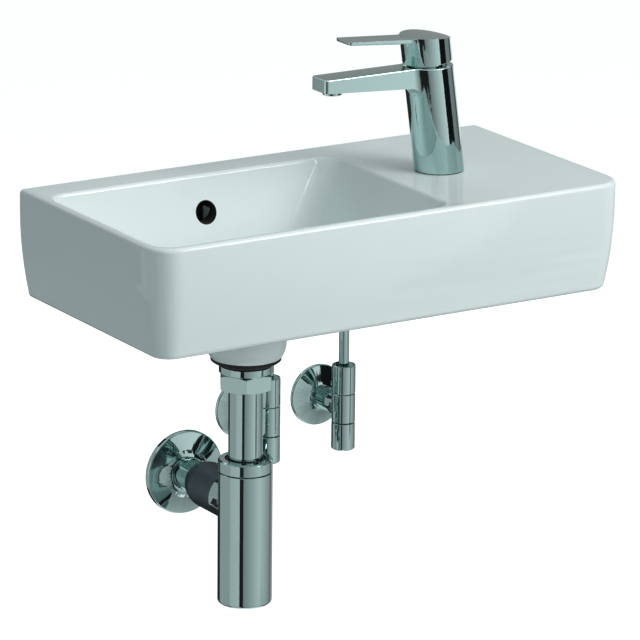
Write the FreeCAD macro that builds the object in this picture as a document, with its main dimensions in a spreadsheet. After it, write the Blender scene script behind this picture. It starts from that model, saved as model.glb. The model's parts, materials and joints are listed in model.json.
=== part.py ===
"""Wall hung handrinse basin with mixer tap, waste, bottle trap and two angle valves.

Millimetres. X runs to the right seen from the front, Y into the wall, Z up.
The origin is the middle of the two wall fixings, on the wall's face.
"""

import FreeCAD, Part
import math
import os
import re
import Sketcher
import PartDesign

VECTOR = FreeCAD.Vector
X_AXIS = VECTOR(1, 0, 0)
Y_AXIS = VECTOR(0, 1, 0)
Z_AXIS = VECTOR(0, 0, 1)

# Driving dimensions, in millimetres and degrees.
SIZES = {
    # Ceramic outside
    "rim_height": 65,
    "basin_length": 500,
    "basin_depth": 250,
    "skirt_height": 104,
    "front_corner": 28,
    "rim_rounding": 4.5,
    "skirt_straight": 20,
    "skirt_bow": 370,
    "skirt_foot_rounding": 6,
    "ceramic_wall": 10,
    # Bowl
    "back_ledge": 33,
    "bowl_right": 64,
    "bowl_depth": 92,
    "bowl_corner": 18,
    "floor_corner": 30,
    "floor_rounding": 22,
    "bowl_edge": 4,
    "side_draw": 11,
    "back_draw": 25,
    "ramp_draw": 55,
    # Hollow under the deck and pockets for the fixings
    "deck_thickness": 14,
    "back_plate": 14,
    "hollow_draft": 4,
    "hollow_corner": 12,
    "fixing_pocket_length": 44,
    "fixing_pocket_depth": 22,
    "fixing_pocket_height": 59,
    # Wall fixings
    "fixing_spacing": 280,
    "fixing_hole": 8,
    "bolt_radius": 4.93,
    "anchor_radius": 4.7,
    "anchor_neck": 4.3,
    "anchor_neck_length": 4,
    "bolt_in_wall": 60,
    "bolt_point": 10,
    "bush_flange": 3,
    "bush_flange_radius": 13,
    "washer_radius": 12,
    "washer_thickness": 2,
    "bolt_nut_flats": 17,
    "bolt_nut_height": 8,
    "bolt_end": 3,
    # Drain in the ceramic
    "drain_x": -78,
    "drain_out": 115,
    "drain_bore": 23,
    "drain_dish": 58,
    "drain_dish_fall": 3.5,
    "drain_seat": 3,
    "boss_radius": 37.5,
    "boss_foot": 33,
    "boss_rounding": 14,
    "boss_drop": 153.7,
    # Overflow
    "overflow_radius": 11,
    "overflow_drop": 34.5,
    "overflow_depth": 20,
    "duct_width": 22,
    "duct_height": 10,
    "duct_wall": 6,
    # Waste
    "flange_radius": 32,
    "flange_thickness": 2.2,
    "flange_seal": 1,
    "waste_shank": 21.6,
    "waste_thread": 20.95,
    "waste_bore": 18.5,
    "shank_length": 30,
    "slot_width": 16,
    "slot_height": 9,
    "boss_seal_radius": 32.8,
    "boss_seal_height": 7.4,
    "back_nut_radius": 25,
    "back_nut_height": 7.8,
    "plug_radius": 20,
    "plug_thickness": 3,
    "plug_seal_radius": 17.8,
    "plug_seal_height": 2.5,
    "plug_stem": 4,
    "plug_stem_length": 34,
    "guide_radius": 8,
    "guide_length": 22,
    # Trap
    "union_flats": 46.5,
    "union_height": 15.4,
    "union_floor": 2.5,
    "union_chamfer": 2,
    "union_washer_height": 2,
    "tail_collar": 20.3,
    "tail_collar_height": 2,
    "pipe_radius": 16,
    "pipe_wall": 1,
    "tail_in_cup": 48.2,
    "cap_top_drop": 251.8,
    "cap_height": 11.9,
    "cap_mouth": 19.2,
    "cap_seal_height": 4.2,
    "cap_seal_recess": 1,
    "groove": 0.8,
    "cup_radius": 25.5,
    "cup_wall": 2.2,
    "cup_neck": 5.4,
    "cup_length": 127.5,
    "cup_bottom_rounding": 3,
    "dip_in_cup": 98.2,
    "dip_wall": 1.6,
    "outlet_below_cap": 45.2,
    "stub_radius": 19,
    "stub_bore": 14.5,
    "stub_length": 31,
    "stub_root": 4,
    "outlet_nut_radius": 22,
    "outlet_nut_length": 52,
    "outlet_nut_taper": 17,
    "outlet_nut_mouth": 17.3,
    "outlet_seal_length": 5,
    "wall_pipe_depth": 24,
    "wall_pipe_in_wall": 28,
    "wall_spigot": 15.7,
    "wall_spigot_start": 3,
    "trap_rosette_radius": 40.5,
    "trap_rosette_shoulder": 5.8,
    "trap_rosette_collar": 19,
    "trap_rosette_depth": 11,
    "rosette_skin": 1.6,
    "rosette_round": 1.5,
    "collar_width": 5,
    "collar_step": 2.2,
    # Valves
    "left_valve_x": -12.5,
    "right_valve_x": 70.8,
    "valve_out": 47.7,
    "valve_radius": 11.35,
    "valve_arm_drop": 243.7,
    "valve_body_half": 14,
    "valve_seam": 0.5,
    "valve_nut_length": 27.6,
    "valve_knob_length": 26.3,
    "valve_roof": 4,
    "valve_neck": 8,
    "valve_neck_length": 16,
    "valve_arm": 11,
    "valve_arm_collar": 10.6,
    "valve_recess": 10.3,
    "valve_recess_depth": 2.5,
    "inlet_thread": 10.478,
    "inlet_in_wall": 12,
    "inlet_thread_start": 1.5,
    "inlet_relief": 9.6,
    "inlet_bore": 7,
    "ferrule_radius": 7,
    "spindle_radius": 4,
    "valve_rosette_radius": 30,
    "valve_rosette_shoulder": 3.5,
    "valve_rosette_collar": 13,
    "valve_rosette_depth": 9,
    "supply_tube": 5,
    "supply_tube_wall": 1,
    "supply_bend": 30,
    "supply_level": 76,
    "left_supply_fall": 62,
    "right_supply_fall": 44,
    # Tap
    "tap_x": 122.5,
    "tap_out": 127.6,
    "tap_hole": 17.5,
    "tap_lean": 8.1,
    "column_foot": 23.3,
    "column_top": 23.5,
    "column_height": 102.2,
    "tap_seal": 1,
    "spout_reach": 132.8,
    "spout_width": 26,
    "spout_tip": 12.5,
    "spout_fall": 3.6,
    "spout_root_rounding": 10,
    "spout_corner": 3.5,
    "spout_edge": 1.2,
    "aerator_reach": 118,
    "aerator_radius": 9,
    "aerator_bore": 7.6,
    "aerator_foot": 85.4,
    "aerator_height": 7,
    "aerator_lip": 0.8,
    "waterway": 3.5,
    "waterway_height": 95,
    "waterway_angle": 94.9,
    "waterway_length": 92,
    "base_cavity": 15,
    "base_cavity_height": 30,
    "inlet_passage": 2.5,
    "cartridge_radius": 17.4,
    "cartridge_length": 38,
    "cartridge_groove": 14.5,
    "cartridge_groove_top": 6.5,
    "cartridge_groove_foot": 15,
    "cartridge_nut_radius": 18,
    "cartridge_nut_height": 4.5,
    "cartridge_nut_depth": 6,
    "cartridge_neck": 14,
    "cartridge_neck_height": 6.5,
    "turner_radius": 10,
    "turner_depth": 8,
    "turner_slot": 8.6,
    "turner_slot_length": 14,
    "turner_slot_depth": 3,
    "stem_side": 8,
    "stem_pivot": 3.5,
    "stem_below": 5,
    "stem_top": 20,
    "pin_radius": 1.5,
    "head_radius": 23.3,
    "head_gap": 3.4,
    "head_gap_tilt": 2.4,
    "head_height": 26.6,
    "head_cavity": 19.4,
    "head_cavity_height": 14.2,
    "head_crown": 167,
    "lever_reach": 87.6,
    "lever_width": 25,
    "lever_rise": 4,
    "lever_tip": 3.3,
    "lever_root": 4.6,
    "lever_corner": 3,
    "lever_blend": 8,
    "lever_toe": 1.6,
    "head_foot_edge": 0.8,
    "grub_radius": 2,
    "grub_length": 9,
    "grub_level": 17.3,
    "plug_button_radius": 2.8,
    "plug_button_length": 2,
    "stud_radius": 4,
    "stud_offset": 9,
    "stud_drop": 78,
    "inlet_spread": 6,
    "inlet_offset": 5,
    "inlet_height": 46,
    "clamp_radius": 24,
    "clamp_gasket": 3,
    "clamp_plate": 3,
    "clamp_slot": 24,
    "stud_nut_flats": 13,
    "stud_nut_height": 6.5,
    # Clearances
    "running_fit": 0.05,
    "loose_fit": 0.2,
    "moving_gap": 0.3,
}

# Lengths that follow from the driving dimensions.
DERIVED = {
    "half_length": "basin_length / 2",
    "skirt_foot": "rim_height - skirt_height",
    "bow_drop": "skirt_height - skirt_straight",
    "bow_inset": "skirt_bow - sqrt(skirt_bow ^ 2 - bow_drop ^ 2)",
    "bowl_left": "-half_length + ceramic_wall",
    "bowl_front": "-basin_depth + ceramic_wall",
    "bowl_floor": "rim_height - bowl_depth",
    "ramp_slope": "ramp_draw / bowl_depth",
    "boss_foot_z": "rim_height - boss_drop",
    "deck_under": "rim_height - deck_thickness",
    "seat_z": "bowl_floor - drain_dish_fall - drain_seat",
    "waste_tail_z": "boss_foot_z - boss_seal_height - back_nut_height - union_height + union_floor"
                    " + tail_collar_height + union_washer_height",
    "union_foot_z": "boss_foot_z - boss_seal_height - back_nut_height - union_height",
    "flange_z": "seat_z + flange_seal",
    "cap_top_z": "rim_height - cap_top_drop",
    "cap_foot_z": "cap_top_z - cap_height",
    "cup_top_z": "cap_foot_z - groove",
    "neck_top_z": "cup_top_z + cup_neck",
    "neck_radius": "cup_radius - cup_wall",
    "cup_bottom": "cup_top_z - cup_length",
    "outlet_z": "cap_top_z - outlet_below_cap",
    "stub_end_y": "-drain_out + cup_radius + stub_length",
    "nut_start_y": "-drain_out + cup_radius + stub_root",
    "valve_z": "rim_height - valve_arm_drop",
    "valve_top": "valve_body_half + valve_seam + valve_nut_length",
    "lean_x": "-column_height * tan(tap_lean)",
    "lever_slope": "tan(lever_rise + tap_lean)",
    "spout_foot": "column_height - spout_tip",
}

doc = FreeCAD.newDocument("wall_hung_basin")
sheet = doc.addObject("Spreadsheet::Sheet", "Size")
for row, (alias, number) in enumerate(SIZES.items(), start=1):
    sheet.set("A%d" % row, str(number))
    sheet.setAlias("A%d" % row, alias)
doc.recompute()

NODES = []
WORD = re.compile(r"[a-z][a-z_]*")


def bind(text):
    """Turn an expression in plain names into one that reads the sheet's cells."""
    def swap(match):
        word = match.group(0)
        if word in DERIVED:
            return "(" + bind(DERIVED[word]) + ")"
        if word in SIZES:
            return "Size." + word
        return word
    return WORD.sub(swap, str(text))


def angled(text):
    """Write trigonometric arguments, which are plain numbers, as degrees."""
    return re.sub(r"\b(sin|cos|tan)\(([^()]*)\)", r"\1((\2) * 1 deg)", text)


def formula(text):
    return angled(bind(text))


def value(text):
    """The number that an expression in plain names has now."""
    result = sheet_reader.evalExpression(formula(text))
    return float(getattr(result, "Value", result))


sheet_reader = doc.addObject("App::FeaturePython", "SheetReader")


def body(label, x="0", y="0", z="0"):
    """A body whose origin stands at a named place."""
    made = doc.addObject("PartDesign::Body", label)
    made.Label = label
    for letter, text in zip("xyz", (x, y, z)):
        made.setExpression("Placement.Base." + letter, formula(text))
    return made


def turn(made, axis, angle):
    """Turn a body about one axis by a named angle."""
    made.Placement = FreeCAD.Placement(made.Placement.Base, FreeCAD.Rotation(axis, 1))
    made.setExpression("Placement.Rotation.Angle", formula(angle))


def keep(made):
    """List an object as one of the part's pieces."""
    NODES.append(made)
    return made


def origin_plane(owner, role):
    for feature in owner.Origin.OriginFeatures:
        if feature.Role == role:
            return feature
    raise ValueError("no plane " + role)


def new_sketch(owner, name, role, lift="0"):
    made = owner.newObject("Sketcher::SketchObject", name)
    made.AttachmentSupport = [(origin_plane(owner, role), "")]
    made.MapMode = "FlatFace"
    if lift != "0":
        made.setExpression("AttachmentOffset.Base.z", formula(lift))
    return made


def pin_point(sketch, line, end, x, y):
    """Bind one end of a line or an arc to two expressions."""
    for kind, text in (("DistanceX", x), ("DistanceY", y)):
        index = sketch.addConstraint(Sketcher.Constraint(kind, -1, 1, line, end, value(text)))
        sketch.setExpression("Constraints[%d]" % index, formula(text))


def arc_through(start, end, radius, bulge):
    """An arc of a circle between two points; bulge is 1 to pass on their left, -1 on their right."""
    middle = (start + end) * 0.5
    chord = end - start
    half = chord.Length / 2
    left = VECTOR(-chord.y, chord.x, 0).normalize() * bulge
    rise = radius - math.sqrt(max(radius ** 2 - half ** 2, 0))
    return Part.Arc(start, middle + left * rise, end)


def outline(sketch, path, closed=True):
    """Draw straight lines and arcs through bound points.

    Each entry is (x, y) or (x, y, radius, bulge), an arc that ends at that point.
    """
    first = sketch.GeometryCount
    points = [VECTOR(value(entry[0]), value(entry[1]), 0) for entry in path]
    steps = range(len(path)) if closed else range(1, len(path))
    for step in steps:
        start = points[step - 1]
        entry = path[step]
        if len(entry) == 2:
            sketch.addGeometry(Part.LineSegment(start, points[step]), False)
            continue
        index = sketch.addGeometry(arc_through(start, points[step], value(entry[2]), entry[3]), False)
        rule = sketch.addConstraint(Sketcher.Constraint("Radius", index, value(entry[2])))
        sketch.setExpression("Constraints[%d]" % rule, formula(entry[2]))
    count = sketch.GeometryCount - first
    for index in range(count if closed else count - 1):
        following = first + (index + 1) % count
        end = end_near(sketch, first + index, points[(index + (0 if closed else 1)) % len(points)])
        start = end_near(sketch, following, points[(index + (0 if closed else 1)) % len(points)])
        sketch.addConstraint(Sketcher.Constraint("Coincident", first + index, end, following, start))
    for index in range(count):
        entry = path[(index if closed else index + 1) % len(path)]
        point = points[(index if closed else index + 1) % len(points)]
        pin_point(sketch, first + index, end_near(sketch, first + index, point), entry[0], entry[1])
    if not closed:
        pin_point(sketch, first, end_near(sketch, first, points[0]), path[0][0], path[0][1])


def end_near(sketch, index, point):
    """Which end of a line or arc lies at a point: 1 its start, 2 its end."""
    to_start = sketch.getPoint(index, 1).distanceToPoint(point)
    to_end = sketch.getPoint(index, 2).distanceToPoint(point)
    return 1 if to_start < to_end else 2


def ring(sketch, radius, x="0", y="0"):
    """Draw a circle with a bound centre and radius."""
    centre = VECTOR(value(x), value(y), 0)
    index = sketch.addGeometry(Part.Circle(centre, Z_AXIS, value(radius)), False)
    rule = sketch.addConstraint(Sketcher.Constraint("Radius", index, value(radius)))
    sketch.setExpression("Constraints[%d]" % rule, formula(radius))
    pin_point(sketch, index, 3, x, y)


def revolve(owner, name, paths, role="XZ_Plane", kind="PartDesign::Revolution"):
    """Turn one or more closed outlines of (radius, height) round the upright of their plane."""
    sketch = new_sketch(owner, name + "_outline", role)
    for path in paths:
        outline(sketch, path)
    made = owner.newObject(kind, name)
    made.Profile = sketch
    made.ReferenceAxis = (sketch, ["V_Axis"])
    made.Angle = 360
    return made


def turned(label, path, x="0", y="0", z="0", role="XZ_Plane"):
    """A whole piece made by turning one outline."""
    made = keep(body(label, x, y, z))
    revolve(made, label + "_turning", [path], role)
    return made


def hex_bar(owner, name, flats, low, high):
    """A hexagonal bar with two flats that face front and back."""
    sketch = new_sketch(owner, name + "_hexagon", "XY_Plane", low)
    corner = "(%s) / sqrt(3)" % flats
    side = "(%s) / 2" % flats
    outline(sketch, [
        (corner, "0"),
        (corner + " / 2", side),
        ("-" + corner + " / 2", side),
        ("-" + corner, "0"),
        ("-" + corner + " / 2", "-" + side),
        (corner + " / 2", "-" + side),
    ])
    made = owner.newObject("PartDesign::Pad", name)
    made.Profile = sketch
    made.setExpression("Length", formula("(%s) - (%s)" % (high, low)))
    return made


def prism(owner, name, path, low, high, kind="PartDesign::Pad"):
    """Pad or pocket one outline between two heights."""
    sketch = new_sketch(owner, name + "_outline", "XY_Plane", low)
    outline(sketch, path)
    made = owner.newObject(kind, name)
    made.Profile = sketch
    made.setExpression("Length", formula("(%s) - (%s)" % (high, low)))
    if kind == "PartDesign::Pocket":
        made.Reversed = True
    return made


def round_bar(owner, name, radius, low, high, x="0", y="0", kind="PartDesign::Pad"):
    """Pad or pocket a circle between two heights."""
    sketch = new_sketch(owner, name + "_circle", "XY_Plane", low)
    ring(sketch, radius, x, y)
    made = owner.newObject(kind, name)
    made.Profile = sketch
    made.setExpression("Length", formula("(%s) - (%s)" % (high, low)))
    if kind == "PartDesign::Pocket":
        made.Reversed = True
    return made


def side_cut(owner, name, path, width, kind="PartDesign::Pocket", role="XZ_Plane"):
    """Pad or pocket a side view by the same amount to both sides of the middle."""
    sketch = new_sketch(owner, name + "_side", role)
    outline(sketch, path)
    made = owner.newObject(kind, name)
    made.Profile = sketch
    made.Midplane = True
    made.setExpression("Length", formula(width))
    return made


def box_path(left, right, front, back):
    """The corners of an upright rectangle."""
    return [(left, front), (right, front), (right, back), (left, back)]


def rounded_path(left, right, front, back, left_corner, right_corner):
    """A rectangle with round corners, turned anticlockwise from the front left."""
    return [
        ("%s + %s" % (left, left_corner), front, left_corner, -1),
        ("%s - %s" % (right, right_corner), front),
        (right, "%s + %s" % (front, right_corner), right_corner, -1),
        (right, "%s - %s" % (back, right_corner)),
        ("%s - %s" % (right, right_corner), back, right_corner, -1),
        ("%s + %s" % (left, left_corner), back),
        (left, "%s - %s" % (back, left_corner), left_corner, -1),
        (left, "%s + %s" % (front, left_corner)),
    ]


def fillet(owner, name, radius, choose):
    """Round the edges that a test picks from the body as it stands."""
    doc.recompute()
    base = owner.Tip
    picked = []
    for index, edge in enumerate(base.Shape.Edges, start=1):
        if choose(edge):
            picked.append("Edge%d" % index)
    if not picked:
        raise ValueError("no edge for " + name)
    made = owner.newObject("PartDesign::Fillet", name)
    made.Base = (base, picked)
    made.setExpression("Radius", formula(radius))
    owner.Tip = made
    return made


def chamfer(owner, name, size, choose):
    """Bevel the edges that a test picks from the body as it stands."""
    doc.recompute()
    base = owner.Tip
    picked = []
    for index, edge in enumerate(base.Shape.Edges, start=1):
        if choose(edge):
            picked.append("Edge%d" % index)
    if not picked:
        raise ValueError("no edge for " + name)
    made = owner.newObject("PartDesign::Chamfer", name)
    made.Base = (base, picked)
    made.setExpression("Size", formula(size))
    owner.Tip = made
    return made


def level(edge, height, slack=0.05):
    """Whether an edge lies in one level plane, in its body's own frame."""
    box = edge.BoundBox
    return abs(box.ZMin - height) < slack and abs(box.ZMax - height) < slack


def pair(label, half):
    """A node of two solids: a piece and its mirror image across the middle."""
    twin = doc.addObject("Part::Mirroring", label + "_twin")
    twin.Source = half
    twin.Normal = X_AXIS
    twin.Base = VECTOR(0, 0, 0)
    both = doc.addObject("Part::Compound", label)
    both.Label = label
    both.Links = [half, twin]
    return keep(both)


# The ceramic basin


def make_basin():
    basin = keep(body("basin"))
    block = [
        ("-half_length", "0"),
        ("-half_length", "-basin_depth + front_corner"),
        ("-half_length + front_corner", "-basin_depth", "front_corner", -1),
        ("half_length - front_corner", "-basin_depth"),
        ("half_length", "-basin_depth + front_corner", "front_corner", -1),
        ("half_length", "0"),
    ]
    prism(basin, "casting", block, "skirt_foot", "rim_height")
    shape_skirt(basin)
    prism(basin, "duct_housing", box_path(
        "drain_x - duct_width / 2 - duct_wall",
        "drain_x + duct_width / 2 + duct_wall",
        "-drain_out",
        "0",
    ), "skirt_foot - duct_wall - duct_height - duct_wall", "skirt_foot + duct_wall")
    make_boss(basin)
    hollow_bowl(basin)
    hollow_underside(basin)
    bore_drain(basin)
    bore_overflow(basin)
    round_bar(basin, "tap_hole_bore", "tap_hole", "deck_under - 1", "rim_height + 1",
              "tap_x", "-tap_out", "PartDesign::Pocket")
    fixing_holes(basin)
    return basin


def shape_skirt(basin):
    """Sweep the rim's rounding, the drawn-in side and the foot's rounding round three sides."""
    route = new_sketch(basin, "skirt_route", "XY_Plane", "rim_height")
    outline(route, [
        ("-half_length", "0"),
        ("-half_length", "-basin_depth + front_corner"),
        ("-half_length + front_corner", "-basin_depth", "front_corner", -1),
        ("half_length - front_corner", "-basin_depth"),
        ("half_length", "-basin_depth + front_corner", "front_corner", -1),
        ("half_length", "0"),
    ], closed=False)
    section = new_sketch(basin, "skirt_section", "XZ_Plane")
    foot_top = "skirt_foot + skirt_foot_rounding"
    inset_there = "skirt_bow - sqrt(skirt_bow ^ 2 - (bow_drop - skirt_foot_rounding) ^ 2)"
    outline(section, [
        ("-half_length - 10", "rim_height + 5"),
        ("-half_length + rim_rounding", "rim_height + 5"),
        ("-half_length + rim_rounding", "rim_height"),
        ("-half_length", "rim_height - rim_rounding", "rim_rounding", -1),
        ("-half_length", "rim_height - skirt_straight"),
        ("-half_length + " + inset_there, foot_top, "skirt_bow", -1),
        ("-half_length + %s + skirt_foot_rounding" % inset_there, "skirt_foot",
         "skirt_foot_rounding", -1),
        ("-half_length + %s + skirt_foot_rounding" % inset_there, "skirt_foot - 5"),
        ("-half_length - 10", "skirt_foot - 5"),
    ])
    sweep = basin.newObject("PartDesign::SubtractivePipe", "skirt_sweep")
    sweep.Profile = section
    sweep.Spine = (route, ["Edge%d" % number for number in range(1, 6)])
    sweep.Mode = 0
    return sweep


def make_boss(basin):
    top = "skirt_foot + 2"
    revolve_at(basin, "boss", [[
        ("0", top),
        ("boss_radius", top),
        ("boss_radius", "boss_foot_z + boss_rounding"),
        ("boss_foot", "boss_foot_z", "boss_rounding * 1.6", 1),
        ("0", "boss_foot_z"),
    ]], "drain_x", "-drain_out")


def revolve_at(owner, name, paths, x, y, kind="PartDesign::Revolution"):
    """Turn outlines round an upright line away from the body's own axis."""
    sketch = new_sketch(owner, name + "_outline", "XZ_Plane", "-(%s)" % y)
    for path in paths:
        shifted = []
        for entry in path:
            shifted.append(("%s + %s" % (x, entry[0]),) + tuple(entry[1:]))
        outline(sketch, shifted)
    axis = sketch.addGeometry(Part.LineSegment(
        VECTOR(value(x), value("rim_height"), 0),
        VECTOR(value(x), value("skirt_foot"), 0)), True)
    pin_point(sketch, axis, 1, x, "rim_height")
    pin_point(sketch, axis, 2, x, "skirt_foot")
    made = owner.newObject(kind, name)
    made.Profile = sketch
    made.ReferenceAxis = (sketch, ["Axis0"])
    made.Angle = 360
    return made


def hollow_bowl(basin):
    """Cut the bowl: near-vertical left and front, leaning back, and a ramp up to the deck."""
    mouth = new_sketch(basin, "bowl_mouth", "XY_Plane", "rim_height")
    outline(mouth, rounded_path("bowl_left", "bowl_right", "bowl_front", "-back_ledge",
                                "bowl_corner", "bowl_corner"))
    floor = new_sketch(basin, "bowl_floor", "XY_Plane", "bowl_floor")
    outline(floor, rounded_path(
        "bowl_left + side_draw", "bowl_right - ramp_draw",
        "bowl_front + side_draw", "-back_ledge - back_draw",
        "floor_corner", "floor_corner"))
    cut = basin.newObject("PartDesign::SubtractiveLoft", "bowl")
    cut.Profile = mouth
    cut.Sections = [floor]
    cut.Ruled = True
    fillet(basin, "bowl_floor_rounding", "floor_rounding",
           lambda edge: level(edge, value("bowl_floor")))
    fillet(basin, "bowl_edge_rounding", "bowl_edge", inner_rim)


def inner_rim(edge):
    """Whether an edge runs round the bowl's mouth."""
    box = edge.BoundBox
    slack = 0.05
    return (level(edge, value("rim_height"))
            and box.XMin > value("bowl_left") - slack
            and box.XMax < value("bowl_right") + slack
            and box.YMin > value("bowl_front") - slack
            and box.YMax < -value("back_ledge") + slack)


def hollow_underside(basin):
    """Hollow the deck from below, and cut the pocket for the left fixing's nut."""
    foot = "skirt_foot"
    foot_left = "bowl_right - ramp_slope * skirt_height + ceramic_wall + 4"
    roof_left = "bowl_right - ramp_slope * deck_thickness + ceramic_wall + 4"
    inner_right = "half_length - bow_inset - ceramic_wall - 2"
    inner_front = "-basin_depth + bow_inset + ceramic_wall + 2"
    opening = new_sketch(basin, "hollow_opening", "XY_Plane", foot)
    outline(opening, rounded_path(foot_left, inner_right, inner_front, "-back_plate",
                                  "hollow_corner", "hollow_corner"))
    roof = new_sketch(basin, "hollow_roof", "XY_Plane", "deck_under")
    outline(roof, rounded_path(
        roof_left, inner_right + " - hollow_draft",
        inner_front + " + hollow_draft", "-back_plate",
        "hollow_corner", "hollow_corner"))
    cut = basin.newObject("PartDesign::SubtractiveLoft", "deck_hollow")
    cut.Profile = opening
    cut.Sections = [roof]
    cut.Ruled = True
    half = "fixing_pocket_length / 2"
    prism(basin, "left_fixing_pocket", box_path(
        "-fixing_spacing / 2 - " + half, "-fixing_spacing / 2 + " + half,
        "-back_plate - fixing_pocket_depth", "-back_plate",
    ), "skirt_foot - 1", "skirt_foot + fixing_pocket_height", "PartDesign::Pocket")


def bore_drain(basin):
    """The shallow dish round the drain, the flange's seat and the bore through the boss."""
    floor = "bowl_floor"
    low = "bowl_floor - drain_dish_fall"
    seat = "flange_radius + moving_gap"
    revolve_at(basin, "drain", [[
        ("0", floor + " + 1"),
        ("drain_dish", floor + " + 1"),
        ("drain_dish", floor),
        (seat, low),
        (seat, "seat_z"),
        ("drain_bore", "seat_z"),
        ("drain_bore", "boss_foot_z - 1"),
        ("0", "boss_foot_z - 1"),
    ]], "drain_x", "-drain_out", "PartDesign::Groove")


def bore_overflow(basin):
    """The round hole in the back wall, and its duct down and forward into the boss."""
    sketch = new_sketch(basin, "overflow_circle", "XZ_Plane", "overflow_depth")
    ring(sketch, "overflow_radius", "drain_x", "rim_height - overflow_drop")
    hole = basin.newObject("PartDesign::Pocket", "overflow_hole")
    hole.Profile = sketch
    hole.setExpression("Length", formula("back_ledge + back_draw - overflow_depth"))
    hole.Reversed = True
    half = "duct_width / 2"
    duct_roof = "skirt_foot - duct_wall"
    prism(basin, "overflow_shaft", box_path(
        "drain_x - " + half, "drain_x + " + half,
        "-overflow_depth - duct_height", "-overflow_depth + 2",
    ), duct_roof + " - duct_height", "rim_height - overflow_drop", "PartDesign::Pocket")
    prism(basin, "overflow_duct", box_path(
        "drain_x - " + half, "drain_x + " + half,
        "-drain_out", "-overflow_depth",
    ), duct_roof + " - duct_height", duct_roof, "PartDesign::Pocket")


def fixing_holes(basin):
    sketch = new_sketch(basin, "fixing_circles", "XZ_Plane", "-1")
    ring(sketch, "fixing_hole", "fixing_spacing / 2", "0")
    ring(sketch, "fixing_hole", "-fixing_spacing / 2", "0")
    hole = basin.newObject("PartDesign::Pocket", "fixing_bores")
    hole.Profile = sketch
    hole.setExpression("Length", formula("back_plate + 3"))
    hole.Reversed = True


# The wall fixings


def fixing_piece(label, path):
    """One turned piece on the right fixing's axis, and its twin on the left."""
    made = body(label + "_one", "fixing_spacing / 2")
    revolve(made, label + "_turning", [path], "XY_Plane")
    return pair(label, made)


def make_fixings():
    bore = "bolt_radius + running_fit"
    seat = "-back_plate"
    plate = "-back_plate - bush_flange"
    nut_seat = plate + " - washer_thickness"
    fixing_piece("wall_bolts", [
        ("0", nut_seat + " - bolt_nut_height - bolt_end"),
        ("bolt_radius - 1", nut_seat + " - bolt_nut_height - bolt_end"),
        ("bolt_radius", nut_seat + " - bolt_nut_height - bolt_end + 1"),
        ("bolt_radius", "-anchor_neck_length"),
        ("anchor_neck", "-anchor_neck_length + 0.5"),
        ("anchor_neck", "0"),
        ("anchor_radius", "0"),
        ("anchor_radius", "bolt_in_wall - bolt_point"),
        ("1", "bolt_in_wall"),
        ("0", "bolt_in_wall"),
    ])
    fixing_piece("bolt_bushes", [
        (bore, plate),
        ("bush_flange_radius", plate),
        ("bush_flange_radius", seat),
        ("fixing_hole - loose_fit", seat),
        ("fixing_hole - loose_fit", "-1"),
        (bore, "-1"),
    ])
    fixing_piece("bolt_washers", [
        (bore, nut_seat),
        ("washer_radius", nut_seat),
        ("washer_radius", plate),
        (bore, plate),
    ])
    nut = body("bolt_nut", "fixing_spacing / 2", nut_seat)
    turn(nut, X_AXIS, "90")
    hex_bar(nut, "bolt_nut_bar", "bolt_nut_flats", "0", "bolt_nut_height")
    nut_groove(nut, "bolt_nut", bore, "bolt_nut_flats", "0", "bolt_nut_height", "1")
    pair("bolt_nuts", nut)


def nut_groove(owner, name, bore, flats, low, high, bevel):
    """Bore a hexagonal bar and bevel its corners at both ends."""
    corner = "(%s) / sqrt(3) + 1" % flats
    inner = "(%s) / sqrt(3) - %s * 1.7" % (flats, bevel)
    revolve(owner, name + "_bore", [
        [("0", low + " - 1"), (bore, low + " - 1"), (bore, high + " + 1"), ("0", high + " + 1")],
        [(inner, high), (corner, high), (corner, high + " - " + bevel + " * 1.3")],
        [(inner, low), (corner, low + " + " + bevel + " * 1.3"), (corner, low)],
    ], kind="PartDesign::Groove")


# The waste


def drain_piece(label, path):
    return turned(label, path, "drain_x", "-drain_out")


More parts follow.
